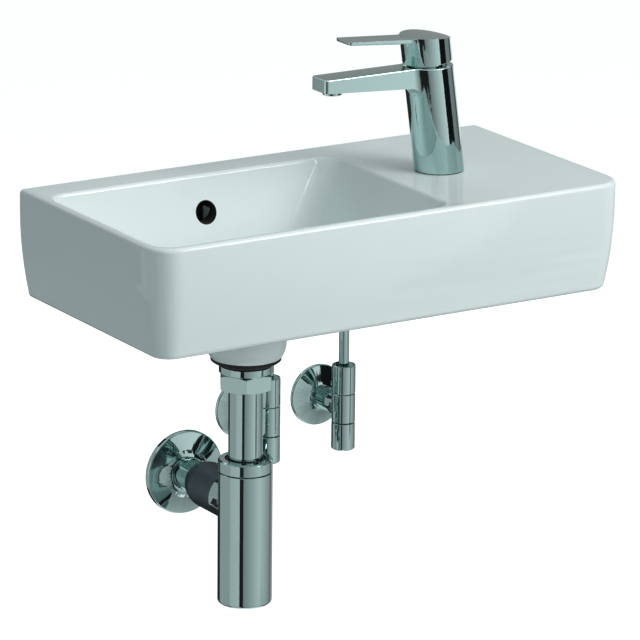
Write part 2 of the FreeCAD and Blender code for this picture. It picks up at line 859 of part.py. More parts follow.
def make_waste():
    shank_foot = "flange_z - shank_length"
    waste = drain_piece("waste_body", [
        ("waste_bore", "waste_tail_z"),
        ("waste_thread", "waste_tail_z"),
        ("waste_thread", shank_foot),
        ("waste_shank", shank_foot),
        ("waste_shank", "flange_z"),
        ("flange_radius", "flange_z"),
        ("flange_radius", "flange_z + flange_thickness - 1"),
        ("flange_radius - 2", "flange_z + flange_thickness"),
        ("plug_radius + moving_gap + 3", "flange_z + flange_thickness"),
        ("plug_radius + moving_gap", "flange_z + flange_thickness - 1"),
        ("plug_radius + moving_gap", "flange_z - 1.5"),
        ("waste_bore", "flange_z - 3.5"),
    ])
    slot_level = "skirt_foot - duct_wall - duct_height / 2"
    sketch = new_sketch(waste, "overflow_slot", "XZ_Plane")
    outline(sketch, box_path("-slot_width / 2", "slot_width / 2",
                             slot_level + " - slot_height / 2", slot_level + " + slot_height / 2"))
    slot = waste.newObject("PartDesign::Pocket", "overflow_slots")
    slot.Profile = sketch
    slot.Type = 1
    slot.Midplane = True
    second = new_sketch(waste, "overflow_slot_across", "YZ_Plane")
    outline(second, box_path("-slot_width / 2", "slot_width / 2",
                             slot_level + " - slot_height / 2", slot_level + " + slot_height / 2"))
    across = waste.newObject("PartDesign::Pocket", "overflow_slots_across")
    across.Profile = second
    across.Type = 1
    across.Midplane = True
    drain_piece("waste_upper_seal", [
        ("drain_bore", "seat_z"),
        ("flange_radius - 1", "seat_z"),
        ("flange_radius - 1", "flange_z"),
        ("drain_bore", "flange_z"),
    ])
    seal_foot = "boss_foot_z - boss_seal_height"
    drain_piece("waste_lower_seal", [
        ("waste_thread + running_fit", seal_foot),
        ("back_nut_radius - 1", seal_foot),
        ("boss_seal_radius - 1.5", "boss_foot_z - boss_seal_height * 0.55"),
        ("boss_seal_radius", "boss_foot_z - boss_seal_height * 0.4"),
        ("boss_seal_radius", "boss_foot_z"),
        ("waste_thread + running_fit", "boss_foot_z"),
    ])
    nut_foot = seal_foot + " - back_nut_height"
    drain_piece("waste_back_nut", [
        ("waste_thread + running_fit", nut_foot),
        ("back_nut_radius - 0.8", nut_foot),
        ("back_nut_radius", nut_foot + " + 0.8"),
        ("back_nut_radius", seal_foot + " - 0.8"),
        ("back_nut_radius - 0.8", seal_foot),
        ("waste_thread + running_fit", seal_foot),
    ])
    make_plug()


def make_plug():
    top = "flange_z + flange_thickness"
    cap_foot = "flange_z + flange_thickness - plug_thickness"
    seal_foot = cap_foot + " - plug_seal_height"
    drain_piece("waste_plug", [
        ("0", cap_foot + " - plug_stem_length"),
        ("plug_stem - 1", cap_foot + " - plug_stem_length"),
        ("plug_stem", cap_foot + " - plug_stem_length + 1"),
        ("plug_stem", cap_foot),
        ("plug_radius", cap_foot),
        ("plug_radius", top + " - 1"),
        ("plug_radius - 1.5", top + " - 0.2"),
        ("0", top + " + 0.4"),
    ])
    drain_piece("plug_seal", [
        ("plug_stem + running_fit", seal_foot),
        ("plug_seal_radius - 1", seal_foot),
        ("plug_seal_radius", seal_foot + " + 1"),
        ("plug_seal_radius", cap_foot),
        ("plug_stem + running_fit", cap_foot),
    ])
    guide_top = seal_foot + " - 2"
    guide = drain_piece("plug_guide", [
        ("plug_stem + running_fit", guide_top + " - guide_length"),
        ("guide_radius", guide_top + " - guide_length"),
        ("guide_radius", guide_top),
        ("plug_stem + running_fit", guide_top),
    ])
    arm_top = guide_top + " - 12"
    prism(guide, "guide_bridge", box_path(
        "-waste_bore + loose_fit", "waste_bore - loose_fit", "-2", "2",
    ), arm_top + " - 8", arm_top)
    prism(guide, "guide_bridge_across", box_path(
        "-2", "2", "-waste_bore + loose_fit", "waste_bore - loose_fit",
    ), arm_top + " - 8", arm_top)
    round_bar(guide, "guide_bore", "plug_stem + running_fit", guide_top + " - guide_length - 1",
              guide_top + " + 1", kind="PartDesign::Pocket")


# The bottle trap


def make_trap():
    nut = keep(body("trap_union_nut", "drain_x", "-drain_out", "union_foot_z"))
    hex_bar(nut, "union_bar", "union_flats", "0", "union_height")
    corner = "union_flats / sqrt(3) + 1"
    inner = "union_flats / sqrt(3) - union_chamfer * 1.7"
    revolve(nut, "union_bore", [
        [
            ("0", "-1"),
            ("pipe_radius + running_fit", "-1"),
            ("pipe_radius + running_fit", "union_floor"),
            ("waste_thread + running_fit", "union_floor"),
            ("waste_thread + running_fit", "union_height + 1"),
            ("0", "union_height + 1"),
        ],
        [(inner, "union_height"), (corner, "union_height"), (corner, "union_height - union_chamfer")],
        [(inner, "0"), (corner, "union_chamfer"), (corner, "0")],
    ], kind="PartDesign::Groove")
    collar_foot = "union_foot_z + union_floor"
    collar_top = collar_foot + " + tail_collar_height"
    drain_piece("trap_union_washer", [
        ("pipe_radius", collar_top),
        ("tail_collar", collar_top),
        ("tail_collar", "waste_tail_z"),
        ("pipe_radius", "waste_tail_z"),
    ])
    drain_piece("trap_tailpipe", [
        ("pipe_radius - pipe_wall", "cap_top_z - tail_in_cup"),
        ("pipe_radius", "cap_top_z - tail_in_cup"),
        ("pipe_radius", collar_foot),
        ("tail_collar", collar_foot),
        ("tail_collar", collar_top),
        ("pipe_radius - pipe_wall", collar_top),
    ])
    seal_top = "cap_top_z - cap_seal_recess"
    seal_foot = seal_top + " - cap_seal_height"
    flange_foot = "neck_top_z"
    drain_piece("trap_cap_seal", [
        ("pipe_radius + running_fit", seal_foot),
        ("cap_mouth - running_fit", seal_foot),
        ("cap_mouth - running_fit", seal_top + " - 0.5"),
        ("cap_mouth - 0.6", seal_top),
        ("pipe_radius + running_fit", seal_top),
    ])
    drain_piece("trap_cap", [
        ("neck_radius + running_fit", "cap_foot_z"),
        ("cup_radius - 0.5", "cap_foot_z"),
        ("cup_radius", "cap_foot_z + 0.5"),
        ("cup_radius", "cap_top_z - 1.5"),
        ("cup_radius - 1.5", "cap_top_z"),
        ("cap_mouth", "cap_top_z"),
        ("cap_mouth", seal_foot),
        ("neck_radius + running_fit", seal_foot),
    ])
    drain_piece("trap_groove_seal", [
        ("neck_radius + running_fit", "cup_top_z"),
        ("cup_radius - 0.7", "cup_top_z"),
        ("cup_radius - 0.7", "cap_foot_z"),
        ("neck_radius + running_fit", "cap_foot_z"),
    ])
    dip_inner = "pipe_radius + running_fit"
    dip_outer = "pipe_radius + running_fit + dip_wall"
    drain_piece("trap_dip_tube", [
        (dip_inner, "cap_top_z - dip_in_cup"),
        (dip_outer, "cap_top_z - dip_in_cup"),
        (dip_outer, flange_foot),
        ("neck_radius - running_fit", flange_foot),
        ("neck_radius - running_fit", seal_foot),
        (dip_inner, seal_foot),
    ])
    make_cup()
    make_outlet()


def make_cup():
    bottom = "cup_bottom"
    cup = drain_piece("trap_cup", [
        ("0", bottom),
        ("cup_radius - cup_bottom_rounding", bottom),
        ("cup_radius", bottom + " + cup_bottom_rounding", "cup_bottom_rounding", -1),
        ("cup_radius", "cup_top_z - 0.4"),
        ("cup_radius - 0.4", "cup_top_z"),
        ("neck_radius", "cup_top_z"),
        ("neck_radius", "neck_top_z"),
        ("neck_radius - cup_wall + 0.3", "neck_top_z"),
        ("neck_radius - cup_wall + 0.3", bottom + " + cup_wall + 4"),
        ("neck_radius - cup_wall - 3.7", bottom + " + cup_wall"),
        ("0", bottom + " + cup_wall"),
    ])
    for name, radius, reach in (("stub_root", "outlet_nut_radius", "stub_root"),
                                ("outlet_stub", "stub_radius", "stub_length")):
        sketch = new_sketch(cup, name + "_circle", "XZ_Plane")
        ring(sketch, radius, "0", "outlet_z")
        pad = cup.newObject("PartDesign::Pad", name)
        pad.Profile = sketch
        pad.setExpression("Length", formula("cup_radius + " + reach))
        pad.Reversed = True
    clear = new_sketch(cup, "cup_clear_circle", "XY_Plane", bottom + " + cup_wall + 4")
    ring(clear, "neck_radius - cup_wall + 0.3")
    inside = cup.newObject("PartDesign::Pocket", "cup_inside")
    inside.Profile = clear
    inside.setExpression("Length", formula("neck_top_z - (%s + cup_wall + 4)" % bottom))
    inside.Reversed = True
    bore = new_sketch(cup, "stub_bore_circle", "XZ_Plane")
    ring(bore, "stub_bore", "0", "outlet_z")
    hole = cup.newObject("PartDesign::Pocket", "stub_bore")
    hole.Profile = bore
    hole.setExpression("Length", formula("cup_radius + stub_length + 1"))
    socket = new_sketch(cup, "stub_socket_circle", "XZ_Plane", "-(cup_radius + stub_length)")
    ring(socket, "pipe_radius + running_fit", "0", "outlet_z")
    seat = cup.newObject("PartDesign::Pocket", "stub_socket")
    seat.Profile = socket
    seat.setExpression("Length", formula("wall_pipe_depth"))
    seat.Reversed = True


def outlet_piece(label, path):
    return turned(label, path, "drain_x", "0", "outlet_z", "XY_Plane")


def make_outlet():
    nut_end = "nut_start_y + outlet_nut_length"
    outlet_piece("outlet_nut", [
        ("stub_radius + running_fit", "nut_start_y"),
        ("outlet_nut_radius", "nut_start_y"),
        ("outlet_nut_radius", nut_end + " - outlet_nut_taper"),
        ("outlet_nut_mouth", nut_end, "outlet_nut_taper * 2", -1),
        ("pipe_radius + running_fit", nut_end),
        ("pipe_radius + running_fit", "stub_end_y + outlet_seal_length"),
        ("stub_radius + running_fit", "stub_end_y + outlet_seal_length - 1"),
    ])
    outlet_piece("outlet_seal", [
        ("pipe_radius + running_fit", "stub_end_y"),
        ("stub_radius", "stub_end_y"),
        ("stub_radius", "stub_end_y + outlet_seal_length - 1.5"),
        ("pipe_radius + 1.5", "stub_end_y + outlet_seal_length - 0.8"),
        ("pipe_radius + running_fit", "stub_end_y + outlet_seal_length - 0.8"),
    ])
    outlet_piece("waste_wall_pipe", [
        ("pipe_radius - pipe_wall", "stub_end_y - wall_pipe_depth"),
        ("pipe_radius", "stub_end_y - wall_pipe_depth"),
        ("pipe_radius", "0"),
        ("wall_spigot", "wall_spigot_start"),
        ("wall_spigot", "wall_pipe_in_wall - 1"),
        ("pipe_radius - pipe_wall", "wall_pipe_in_wall"),
    ])
    rosette("waste_rosette", "drain_x", "outlet_z", "pipe_radius", "trap_rosette_radius",
            "trap_rosette_shoulder", "trap_rosette_collar", "trap_rosette_depth")


def rosette(label, x, z, bore, rim, shoulder, collar, depth):
    """A hollow cover plate on the wall: round rim, shallow dish and raised collar."""
    hole = bore + " + loose_fit"
    skin = "rosette_skin"
    return turned(label, [
        ("%s - %s" % (rim, skin), "0"),
        (rim, "0"),
        (rim, "-%s + rosette_round" % shoulder),
        ("%s - rosette_round" % rim, "-" + shoulder, "rosette_round", 1),
        ("%s + collar_width" % collar, "-%s + collar_step" % depth),
        (collar, "-" + depth),
        (hole, "-" + depth),
        (hole, "-%s + %s" % (depth, skin)),
        (collar, "-%s + %s" % (depth, skin)),
        ("%s - rosette_round - %s" % (rim, skin), "-%s + %s" % (shoulder, skin)),
    ], x, "0", z, "XY_Plane")


# The angle valves


def make_valve(side):
    """One valve; its body's origin is where the arm crosses the upright axis."""
    x = side + "_valve_x"
    place = (x, "-valve_out", "valve_z")
    tube_hole = "supply_tube + running_fit"
    neck_top = "valve_body_half + valve_neck_length"
    nut_foot = "valve_body_half + valve_seam"
    roof = "valve_top - valve_recess_depth"
    valve = turned(side + "_valve_body", [
        ("0", "-valve_body_half"),
        ("valve_radius - 0.4", "-valve_body_half"),
        ("valve_radius", "-valve_body_half + 0.4"),
        ("valve_radius", "valve_body_half - 0.4"),
        ("valve_radius - 0.4", "valve_body_half"),
        ("valve_neck", "valve_body_half"),
        ("valve_neck", neck_top),
        (tube_hole, neck_top),
        (tube_hole, "valve_body_half"),
        ("spindle_radius", "valve_body_half"),
        ("spindle_radius", "0"),
        ("0", "0"),
    ], *place)
    revolve(valve, side + "_arm", [[
        ("0", "0"),
        ("valve_arm", "0"),
        ("valve_arm", "valve_radius"),
        ("valve_arm_collar", "valve_out - valve_rosette_depth"),
        ("inlet_relief", "valve_out - valve_rosette_depth"),
        ("inlet_relief", "valve_out + inlet_thread_start - 0.5"),
        ("inlet_thread", "valve_out + inlet_thread_start"),
        ("inlet_thread", "valve_out + inlet_in_wall - 1"),
        ("inlet_thread - 1", "valve_out + inlet_in_wall"),
        ("0", "valve_out + inlet_in_wall"),
    ]], "XY_Plane")
    revolve(valve, side + "_arm_bore", [[
        ("0", "spindle_radius + 2"),
        ("inlet_bore", "spindle_radius + 2"),
        ("inlet_bore", "valve_out + inlet_in_wall + 1"),
        ("0", "valve_out + inlet_in_wall + 1"),
    ]], "XY_Plane", "PartDesign::Groove")
    round_bar(valve, side + "_spindle_bore", "spindle_radius + running_fit",
              "-valve_body_half - 1", "-1", kind="PartDesign::Pocket")
    round_bar(valve, side + "_seat_bore", "spindle_radius - 1",
              "-2", "valve_body_half + 1", kind="PartDesign::Pocket")
    turned(side + "_valve_nut", [
        ("valve_neck + running_fit", nut_foot),
        ("valve_radius - 0.3", nut_foot),
        ("valve_radius", nut_foot + " + 0.3"),
        ("valve_radius", "valve_top - 0.5"),
        ("valve_radius - 0.5", "valve_top"),
        ("valve_recess", "valve_top"),
        ("valve_recess", roof),
        (tube_hole, roof),
        (tube_hole, roof + " - valve_roof"),
        ("ferrule_radius + running_fit", roof + " - valve_roof - 1"),
        ("valve_neck + running_fit", roof + " - valve_roof - 1.5"),
    ], *place)
    turned(side + "_valve_gasket", [
        ("valve_neck + running_fit", "valve_body_half"),
        ("valve_radius - 1", "valve_body_half"),
        ("valve_radius - 1", nut_foot),
        ("valve_neck + running_fit", nut_foot),
    ], *place)
    turned(side + "_valve_ferrule", [
        (tube_hole, neck_top),
        ("ferrule_radius", neck_top),
        ("ferrule_radius", roof + " - valve_roof - 1.2"),
        (tube_hole, roof + " - valve_roof - 0.2"),
    ], *place)
    knob_top = "-valve_body_half - valve_seam * 1.6"
    knob_foot = knob_top + " - valve_knob_length"
    turned(side + "_valve_knob", [
        ("0", knob_foot),
        ("valve_radius - 1", knob_foot),
        ("valve_radius", knob_foot + " + 1"),
        ("valve_radius", knob_top + " - 0.4"),
        ("valve_radius - 0.4", knob_top),
        ("spindle_radius", knob_top),
        ("spindle_radius", knob_foot + " + 6"),
        ("0", knob_foot + " + 6"),
    ], *place)
    turned(side + "_valve_spindle", [
        ("0", knob_foot + " + 6"),
        ("spindle_radius", knob_foot + " + 6"),
        ("spindle_radius", "-4"),
        ("spindle_radius - 1", "-3"),
        ("0", "-3"),
    ], *place)
    rosette(side + "_valve_rosette", x, "valve_z", "inlet_thread", "valve_rosette_radius",
            "valve_rosette_shoulder", "valve_rosette_collar", "valve_rosette_depth")


def make_supply_tube(side, start_x):
    """A tube from the tap's inlet down, across toward the wall, and down into its valve."""
    end_x = side + "_valve_x"
    start_y = "-tap_out + inlet_offset"
    run_x = "(%s - (%s))" % (end_x, start_x)
    run_y = "(-valve_out - (%s))" % start_y
    tube = keep(body(side + "_supply_tube", start_x, start_y, "0"))
    turn(tube, Z_AXIS, "atan2(%s; %s) / 1 deg" % (run_y, run_x))
    top = "rim_height + inlet_height"
    upper = "rim_height - supply_level"
    fall = side + "_supply_fall"
    lower = "rim_height - supply_level - " + fall
    foot = "valve_z + valve_body_half"
    across = "sqrt(%s ^ 2 + %s ^ 2)" % (run_x, run_y)
    turn_angle = "atan2(%s; %s)" % (across, fall)
    cut = "supply_bend * tan(%s / 2)" % turn_angle
    sine = "(%s / sqrt(%s ^ 2 + %s ^ 2))" % (across, across, fall)
    cosine = "(%s / sqrt(%s ^ 2 + %s ^ 2))" % (fall, across, fall)
    route = new_sketch(tube, side + "_tube_route", "XZ_Plane")
    outline(route, [
        ("0", top),
        ("0", "%s + %s" % (upper, cut)),
        ("%s * %s" % (cut, sine), "%s - %s * %s" % (upper, cut, cosine), "supply_bend", -1),
        ("%s - %s * %s" % (across, cut, sine), "%s + %s * %s" % (lower, cut, cosine)),
        (across, "%s - %s" % (lower, cut), "supply_bend", 1),
        (across, foot),
    ], closed=False)
    section = new_sketch(tube, side + "_tube_section", "XY_Plane", top)
    ring(section, "supply_tube")
    ring(section, "supply_tube - supply_tube_wall")
    sweep = tube.newObject("PartDesign::AdditivePipe", side + "_tube_sweep")
    sweep.Profile = section
    sweep.Spine = (route, ["Edge%d" % number for number in range(1, 6)])
    return tube


# The tap


LEAN_AXIS = VECTOR(0, -1, 0)


def inclined(path, x, z, angle):
    """Set an outline of (radius, height) on an axis that leans to the left by an angle."""
    turned_path = []
    for entry in path:
        across = "%s + (%s) * cos(%s) - (%s) * sin(%s)" % (x, entry[0], angle, entry[1], angle)
        upward = "%s + (%s) * sin(%s) + (%s) * cos(%s)" % (z, entry[0], angle, entry[1], angle)
        turned_path.append((across, upward) + tuple(entry[2:]))
    return turned_path


def lean_groove(owner, name, path, x, z, angle):
    """Bore round an axis that leans in the side view."""
    sketch = new_sketch(owner, name + "_outline", "XZ_Plane")
    outline(sketch, inclined(path, x, z, angle))
    ends = inclined([("0", "0"), ("0", "10")], x, z, angle)
    axis = sketch.addGeometry(Part.LineSegment(
        VECTOR(value(ends[0][0]), value(ends[0][1]), 0),
        VECTOR(value(ends[1][0]), value(ends[1][1]), 0)), True)
    pin_point(sketch, axis, 1, *ends[0])
    pin_point(sketch, axis, 2, *ends[1])
    made = owner.newObject("PartDesign::Groove", name)
    made.Profile = sketch
    made.ReferenceAxis = (sketch, ["Axis0"])
    made.Angle = 360
    return made


def make_tap():
    tap = keep(body("tap_body", "tap_x", "-tap_out", "rim_height"))
    foot = new_sketch(tap, "column_foot_circle", "XY_Plane", "tap_seal")
    ring(foot, "column_foot", "-tap_seal * tan(tap_lean)")
    top = new_sketch(tap, "column_top_circle", "XY_Plane", "column_height")
    ring(top, "column_top", "lean_x")
    column = tap.newObject("PartDesign::AdditiveLoft", "column")
    column.Profile = foot
    column.Sections = [top]
    column.Ruled = True
    side_cut(tap, "spout", [
        ("-spout_reach", "spout_foot"),
        ("lean_x", "spout_foot - (spout_reach + lean_x) * tan(spout_fall)"),
        ("lean_x", "column_height"),
        ("-spout_reach", "column_height"),
    ], "spout_width", "PartDesign::Pad")
    fillet(tap, "spout_root", "spout_root_rounding", spout_seam)
    fillet(tap, "spout_corners", "spout_corner", lambda edge: upright_at(edge, -value("spout_reach")))
    fillet(tap, "spout_edges", "spout_edge", lambda edge: level(edge, value("column_height")))
    round_bar(tap, "base_cavity", "base_cavity", "0", "base_cavity_height",
              kind="PartDesign::Pocket")
    round_bar(tap, "stud_hole", "stud_radius + running_fit", "base_cavity_height - 1",
              "inlet_height - 4", "0", "-stud_offset", "PartDesign::Pocket")
    for name, x in (("left", "-inlet_spread"), ("right", "inlet_spread")):
        round_bar(tap, name + "_inlet", "supply_tube + running_fit", "base_cavity_height - 1",
                  "inlet_height", x, "inlet_offset", "PartDesign::Pocket")
        round_bar(tap, name + "_passage", "inlet_passage", "inlet_height - 1",
                  "column_height - cartridge_length + 4", x, "inlet_offset", "PartDesign::Pocket")
    lean_groove(tap, "cartridge_bore", [
        ("0", "-cartridge_length"),
        ("cartridge_radius + running_fit", "-cartridge_length"),
        ("cartridge_radius + running_fit", "-cartridge_nut_depth"),
        ("cartridge_nut_radius + running_fit", "-cartridge_nut_depth"),
        ("cartridge_nut_radius + running_fit", "cartridge_nut_depth"),
        ("0", "cartridge_nut_depth"),
    ], "lean_x", "column_height", "tap_lean")
    lean_groove(tap, "spout_waterway", [
        ("0", "0"),
        ("waterway", "0"),
        ("waterway", "waterway_length"),
        ("0", "waterway_length"),
    ], "-aerator_reach", "waterway_height", "-waterway_angle")
    round_bar(tap, "aerator_seat", "aerator_radius + running_fit", "aerator_foot - 1",
              "aerator_foot + aerator_height", "-aerator_reach", "0", "PartDesign::Pocket")
    make_aerator()
    make_tap_mount()
    make_cartridge()
    make_lever()
    return tap


def spout_seam(edge):
    """Whether an edge lies where the spout runs into the round column."""
    box = edge.BoundBox
    column_front = value("lean_x") - value("column_top")
    return (box.XMin > column_front - 4
            and box.XMax < value("lean_x")
            and box.ZMin > value("column_height") - value("column_top")
            and not level(edge, value("column_height")))


def upright_at(edge, x, slack=0.05):
    """Whether an upright edge stands at a distance along its body."""
    box = edge.BoundBox
    return abs(box.XMin - x) < slack and abs(box.XMax - x) < slack and box.ZLength > 5


def make_aerator():
    place = ("tap_x - aerator_reach", "-tap_out", "rim_height + aerator_foot")
    turned("aerator_ring", [
        ("aerator_bore - aerator_lip", "0"),
        ("aerator_radius - 0.4", "0"),
        ("aerator_radius", "0.4"),
        ("aerator_radius", "aerator_height"),
        ("aerator_bore", "aerator_height"),
        ("aerator_bore", "aerator_lip"),
        ("aerator_bore - aerator_lip", "aerator_lip"),
    ], *place)
    turned("aerator_insert", [
        ("0", "aerator_lip"),
        ("aerator_bore - running_fit", "aerator_lip"),
        ("aerator_bore - running_fit", "aerator_height - 1"),
        ("1.5", "aerator_height"),
        ("0", "aerator_height"),
    ], *place)


def tap_piece(label, path):
    return turned(label, path, "tap_x", "-tap_out", "rim_height")


def make_tap_mount():
    tap_piece("tap_seal", [
        ("tap_hole", "0"),
        ("column_foot - 0.6", "0"),
        ("column_foot - 0.6", "tap_seal"),
        ("tap_hole", "tap_seal"),
    ])
    stud = keep(body("tap_stud", "tap_x", "-tap_out - stud_offset", "rim_height"))
    round_bar(stud, "stud_rod", "stud_radius", "-stud_drop", "inlet_height - 4")
    chamfer(stud, "stud_points", "0.8", lambda edge: edge.BoundBox.ZLength < 0.05)
    deck = "-deck_thickness"
    gasket_foot = "-deck_thickness - clamp_gasket"
    plate_foot = gasket_foot + " - clamp_plate"
    clamp_piece("clamp_gasket", gasket_foot, deck)
    clamp_piece("clamp_plate", plate_foot, gasket_foot)
    nut_foot = plate_foot + " - stud_nut_height"
    nut = keep(body("stud_nut", "tap_x", "-tap_out - stud_offset", "rim_height"))
    hex_bar(nut, "stud_nut_bar", "stud_nut_flats", nut_foot, plate_foot)
    nut_groove(nut, "stud_nut", "stud_radius + running_fit", "stud_nut_flats",
               nut_foot, plate_foot, "0.8")


def clamp_piece(label, low, high):
    """A horseshoe plate under the deck: a hole for the stud and a slot for the tubes."""
    made = keep(body(label, "tap_x", "-tap_out", "rim_height"))
    round_bar(made, label + "_disc", "clamp_radius", low, high)
    round_bar(made, label + "_hole", "stud_radius + loose_fit", low + " - 1", high + " + 1",
              "0", "-stud_offset", "PartDesign::Pocket")
    prism(made, label + "_slot", box_path(
        "-clamp_slot / 2", "clamp_slot / 2", "-0.6", "clamp_radius + 1",
    ), low + " - 1", high + " + 1", "PartDesign::Pocket")


def lean_body(label):
    """A body on the column's leaning axis, from the column's top."""
    made = keep(body(label, "tap_x + lean_x", "-tap_out", "rim_height + column_height"))
    turn(made, LEAN_AXIS, "tap_lean")
    return made


def lean_piece(label, path):
    made = lean_body(label)
    revolve(made, label + "_turning", [path])
    return made


def make_cartridge():
    recess = "turner_radius + running_fit"
    lean_piece("cartridge", [
        ("0", "-cartridge_length"),
        ("cartridge_radius", "-cartridge_length"),
        ("cartridge_radius", "-cartridge_groove_foot"),
        ("cartridge_groove", "-cartridge_groove_foot"),
        ("cartridge_groove", "-cartridge_groove_top"),
        ("cartridge_radius", "-cartridge_groove_top"),
        ("cartridge_radius", "0"),
        ("cartridge_neck", "0"),
        ("cartridge_neck", "cartridge_neck_height"),
        (recess, "cartridge_neck_height"),
        (recess, "-turner_depth - running_fit"),
        ("0", "-turner_depth - running_fit"),
    ])
    lean_piece("cartridge_nut", [
        ("cartridge_radius + running_fit", "-cartridge_nut_depth"),
        ("cartridge_nut_radius", "-cartridge_nut_depth"),
        ("cartridge_nut_radius", "cartridge_nut_height - 0.6"),
        ("cartridge_nut_radius - 0.6", "cartridge_nut_height"),
        ("cartridge_neck + running_fit", "cartridge_nut_height"),
        ("cartridge_neck + running_fit", "0"),
        ("cartridge_radius + running_fit", "0"),
    ])
    turner = lean_piece("cartridge_turner", [
        ("0", "-turner_depth"),
        ("turner_radius", "-turner_depth"),
        ("turner_radius", "cartridge_neck_height"),
        ("0", "cartridge_neck_height"),
    ])
    prism(turner, "turner_slot", box_path(
        "-turner_slot_length / 2", "turner_slot_length / 2", "-turner_slot / 2", "turner_slot / 2",
    ), "-turner_slot_depth", "cartridge_neck_height + 1", "PartDesign::Pocket")
    cross_bore(turner, "turner_pin_hole", "pin_radius + running_fit", "stem_pivot")
    stem = lean_body("cartridge_stem")
    half = "stem_side / 2"
    prism(stem, "stem_bar", box_path("-" + half, half, "-" + half, half),
          "stem_pivot - stem_below", "stem_top")
    cross_bore(stem, "stem_pin_hole", "pin_radius + running_fit", "stem_pivot")
    pin = lean_body("stem_pin")
    sketch = new_sketch(pin, "stem_pin_circle", "XZ_Plane")
    ring(sketch, "pin_radius", "0", "stem_pivot")
    rod = pin.newObject("PartDesign::Pad", "stem_pin_rod")
    rod.Profile = sketch
    rod.Midplane = True
    rod.setExpression("Length", formula("turner_radius * 2 - 1"))


def cross_bore(owner, name, radius, height):
    """Bore a hole right through from front to back."""
    sketch = new_sketch(owner, name + "_circle", "XZ_Plane")
    ring(sketch, radius, "0", height)
    hole = owner.newObject("PartDesign::Pocket", name)
    hole.Profile = sketch
    hole.Type = 1
    hole.Midplane = True


def make_lever():
    lever = lean_body("tap_lever")
    round_bar(lever, "lever_head", "head_radius", "0", "head_height + head_radius")
    wide = "(head_radius + 1)"
    rise = "(%s) * lever_slope"
    crown = "head_height + " + rise % wide
    back = "head_height - " + rise % wide
    side_cut(lever, "head_top", [
        ("-" + wide, crown),
        (wide, back, "head_crown", 1),
        (wide, "head_height + head_radius * 2"),
        ("-" + wide, "head_height + head_radius * 2"),
    ], "head_radius * 3")
    side_cut(lever, "head_foot", [
        ("-" + wide, "-1"),
        (wide, "-1"),
        (wide, "head_gap - (%s) * tan(head_gap_tilt)" % wide),
        ("-" + wide, "head_gap + (%s) * tan(head_gap_tilt)" % wide),
    ], "head_radius * 3")
    blade_root = "-head_radius + 4"
    tip_top = "head_height + " + rise % "lever_reach"
    root_top = "head_height + " + rise % "head_radius - 4"
    side_cut(lever, "lever_blade", [
        ("-lever_reach", tip_top + " - lever_tip"),
        (blade_root, root_top + " - lever_root"),
        ("0", "head_height - lever_root"),
        ("0", "head_height"),
        ("-lever_reach", tip_top),
    ], "lever_width", "PartDesign::Pad")
    fillet(lever, "lever_blend", "lever_blend", blade_side_seam)
    fillet(lever, "lever_corners", "lever_corner",
           lambda edge: upright_at(edge, -value("lever_reach")) or tip_edge(edge))
    fillet(lever, "lever_toe", "lever_toe", toe_edge)
    fillet(lever, "head_foot_edge", "head_foot_edge", head_foot_edge)
    round_bar(lever, "head_cavity", "head_cavity", "-2", "head_cavity_height",
              kind="PartDesign::Pocket")
    half = "(stem_side / 2 + running_fit)"
    prism(lever, "stem_socket", box_path("-" + half, half, "-" + half, half),
          "head_cavity_height - 1", "stem_top + moving_gap", "PartDesign::Pocket")
    screw_bore(lever)
    return lever


def blade_side_seam(edge):
    """Whether an edge is an upright one where the blade's side runs into the round head."""
    box = edge.BoundBox
    return (box.XMin > -value("head_radius")
            and box.XMax < -value("head_radius") * 0.8
            and box.YLength < 0.05
            and box.ZMin > value("head_height") / 2)


def toe_edge(edge):
    """Whether an edge is the lower one across the lever's tip."""
    box = edge.BoundBox
    toe = value("head_height + lever_reach * lever_slope - lever_tip")
    return (box.XMax < -value("lever_reach") + 0.5
            and abs(box.ZMin - toe) < 0.1
            and box.ZLength < 0.1
            and box.YLength > 5)


def head_foot_edge(edge):
    """Whether an edge is the outer round one at the head's foot."""
    box = edge.BoundBox
    return box.ZMax < value("head_gap") * 2 and box.YLength > value("head_radius") * 1.5


def tip_edge(edge):
    """Whether an edge is one of the short upright ones at the lever's tip."""
    box = edge.BoundBox
    return box.XMax < -value("lever_reach") + 0.5 and box.YLength < 0.05


def screw_bore(lever):
    """Bore the head's back for the grub screw and its cover plug, and make both."""
    for name, radius, start in (
            ("screw_hole", "grub_radius + running_fit", "stem_side / 2 - 1"),
            ("plug_hole", "plug_button_radius + running_fit", "head_radius - plug_button_length")):
        sketch = new_sketch(lever, name + "_circle", "YZ_Plane", start)
        ring(sketch, radius, "0", "grub_level")
        hole = lever.newObject("PartDesign::Pocket", name)
        hole.Profile = sketch
        hole.setExpression("Length", formula("head_radius"))
        hole.Reversed = True
    for label, radius, start, length in (
            ("lever_screw", "grub_radius", "stem_side / 2", "grub_length"),
            ("lever_plug", "plug_button_radius", "head_radius - plug_button_length",
             "plug_button_length - 0.3")):
        made = lean_body(label)
        sketch = new_sketch(made, label + "_circle", "YZ_Plane", start)
        ring(sketch, radius, "0", "grub_level")
        rod = made.newObject("PartDesign::Pad", label + "_rod")
        rod.Profile = sketch
        rod.setExpression("Length", formula(length))


def check_all():
    """Stop if any object is in error or any shape is missing or broken."""
    for thing in doc.Objects:
        for word in ("Invalid", "Error"):
            if word in thing.State:
                raise ValueError("%s is in state %s" % (thing.Label, thing.State))
        shape = getattr(thing, "Shape", None)
        if shape is None or thing in NODES:
            continue
        if thing.isDerivedFrom("PartDesign::Feature") and (shape.isNull() or not shape.isValid()):
            raise ValueError("the shape of %s is broken" % thing.Label)
    for node in NODES:
        if node.Shape.isNull() or not node.Shape.isValid() or not node.Shape.Solids:
            raise ValueError("the piece %s is broken" % node.Label)


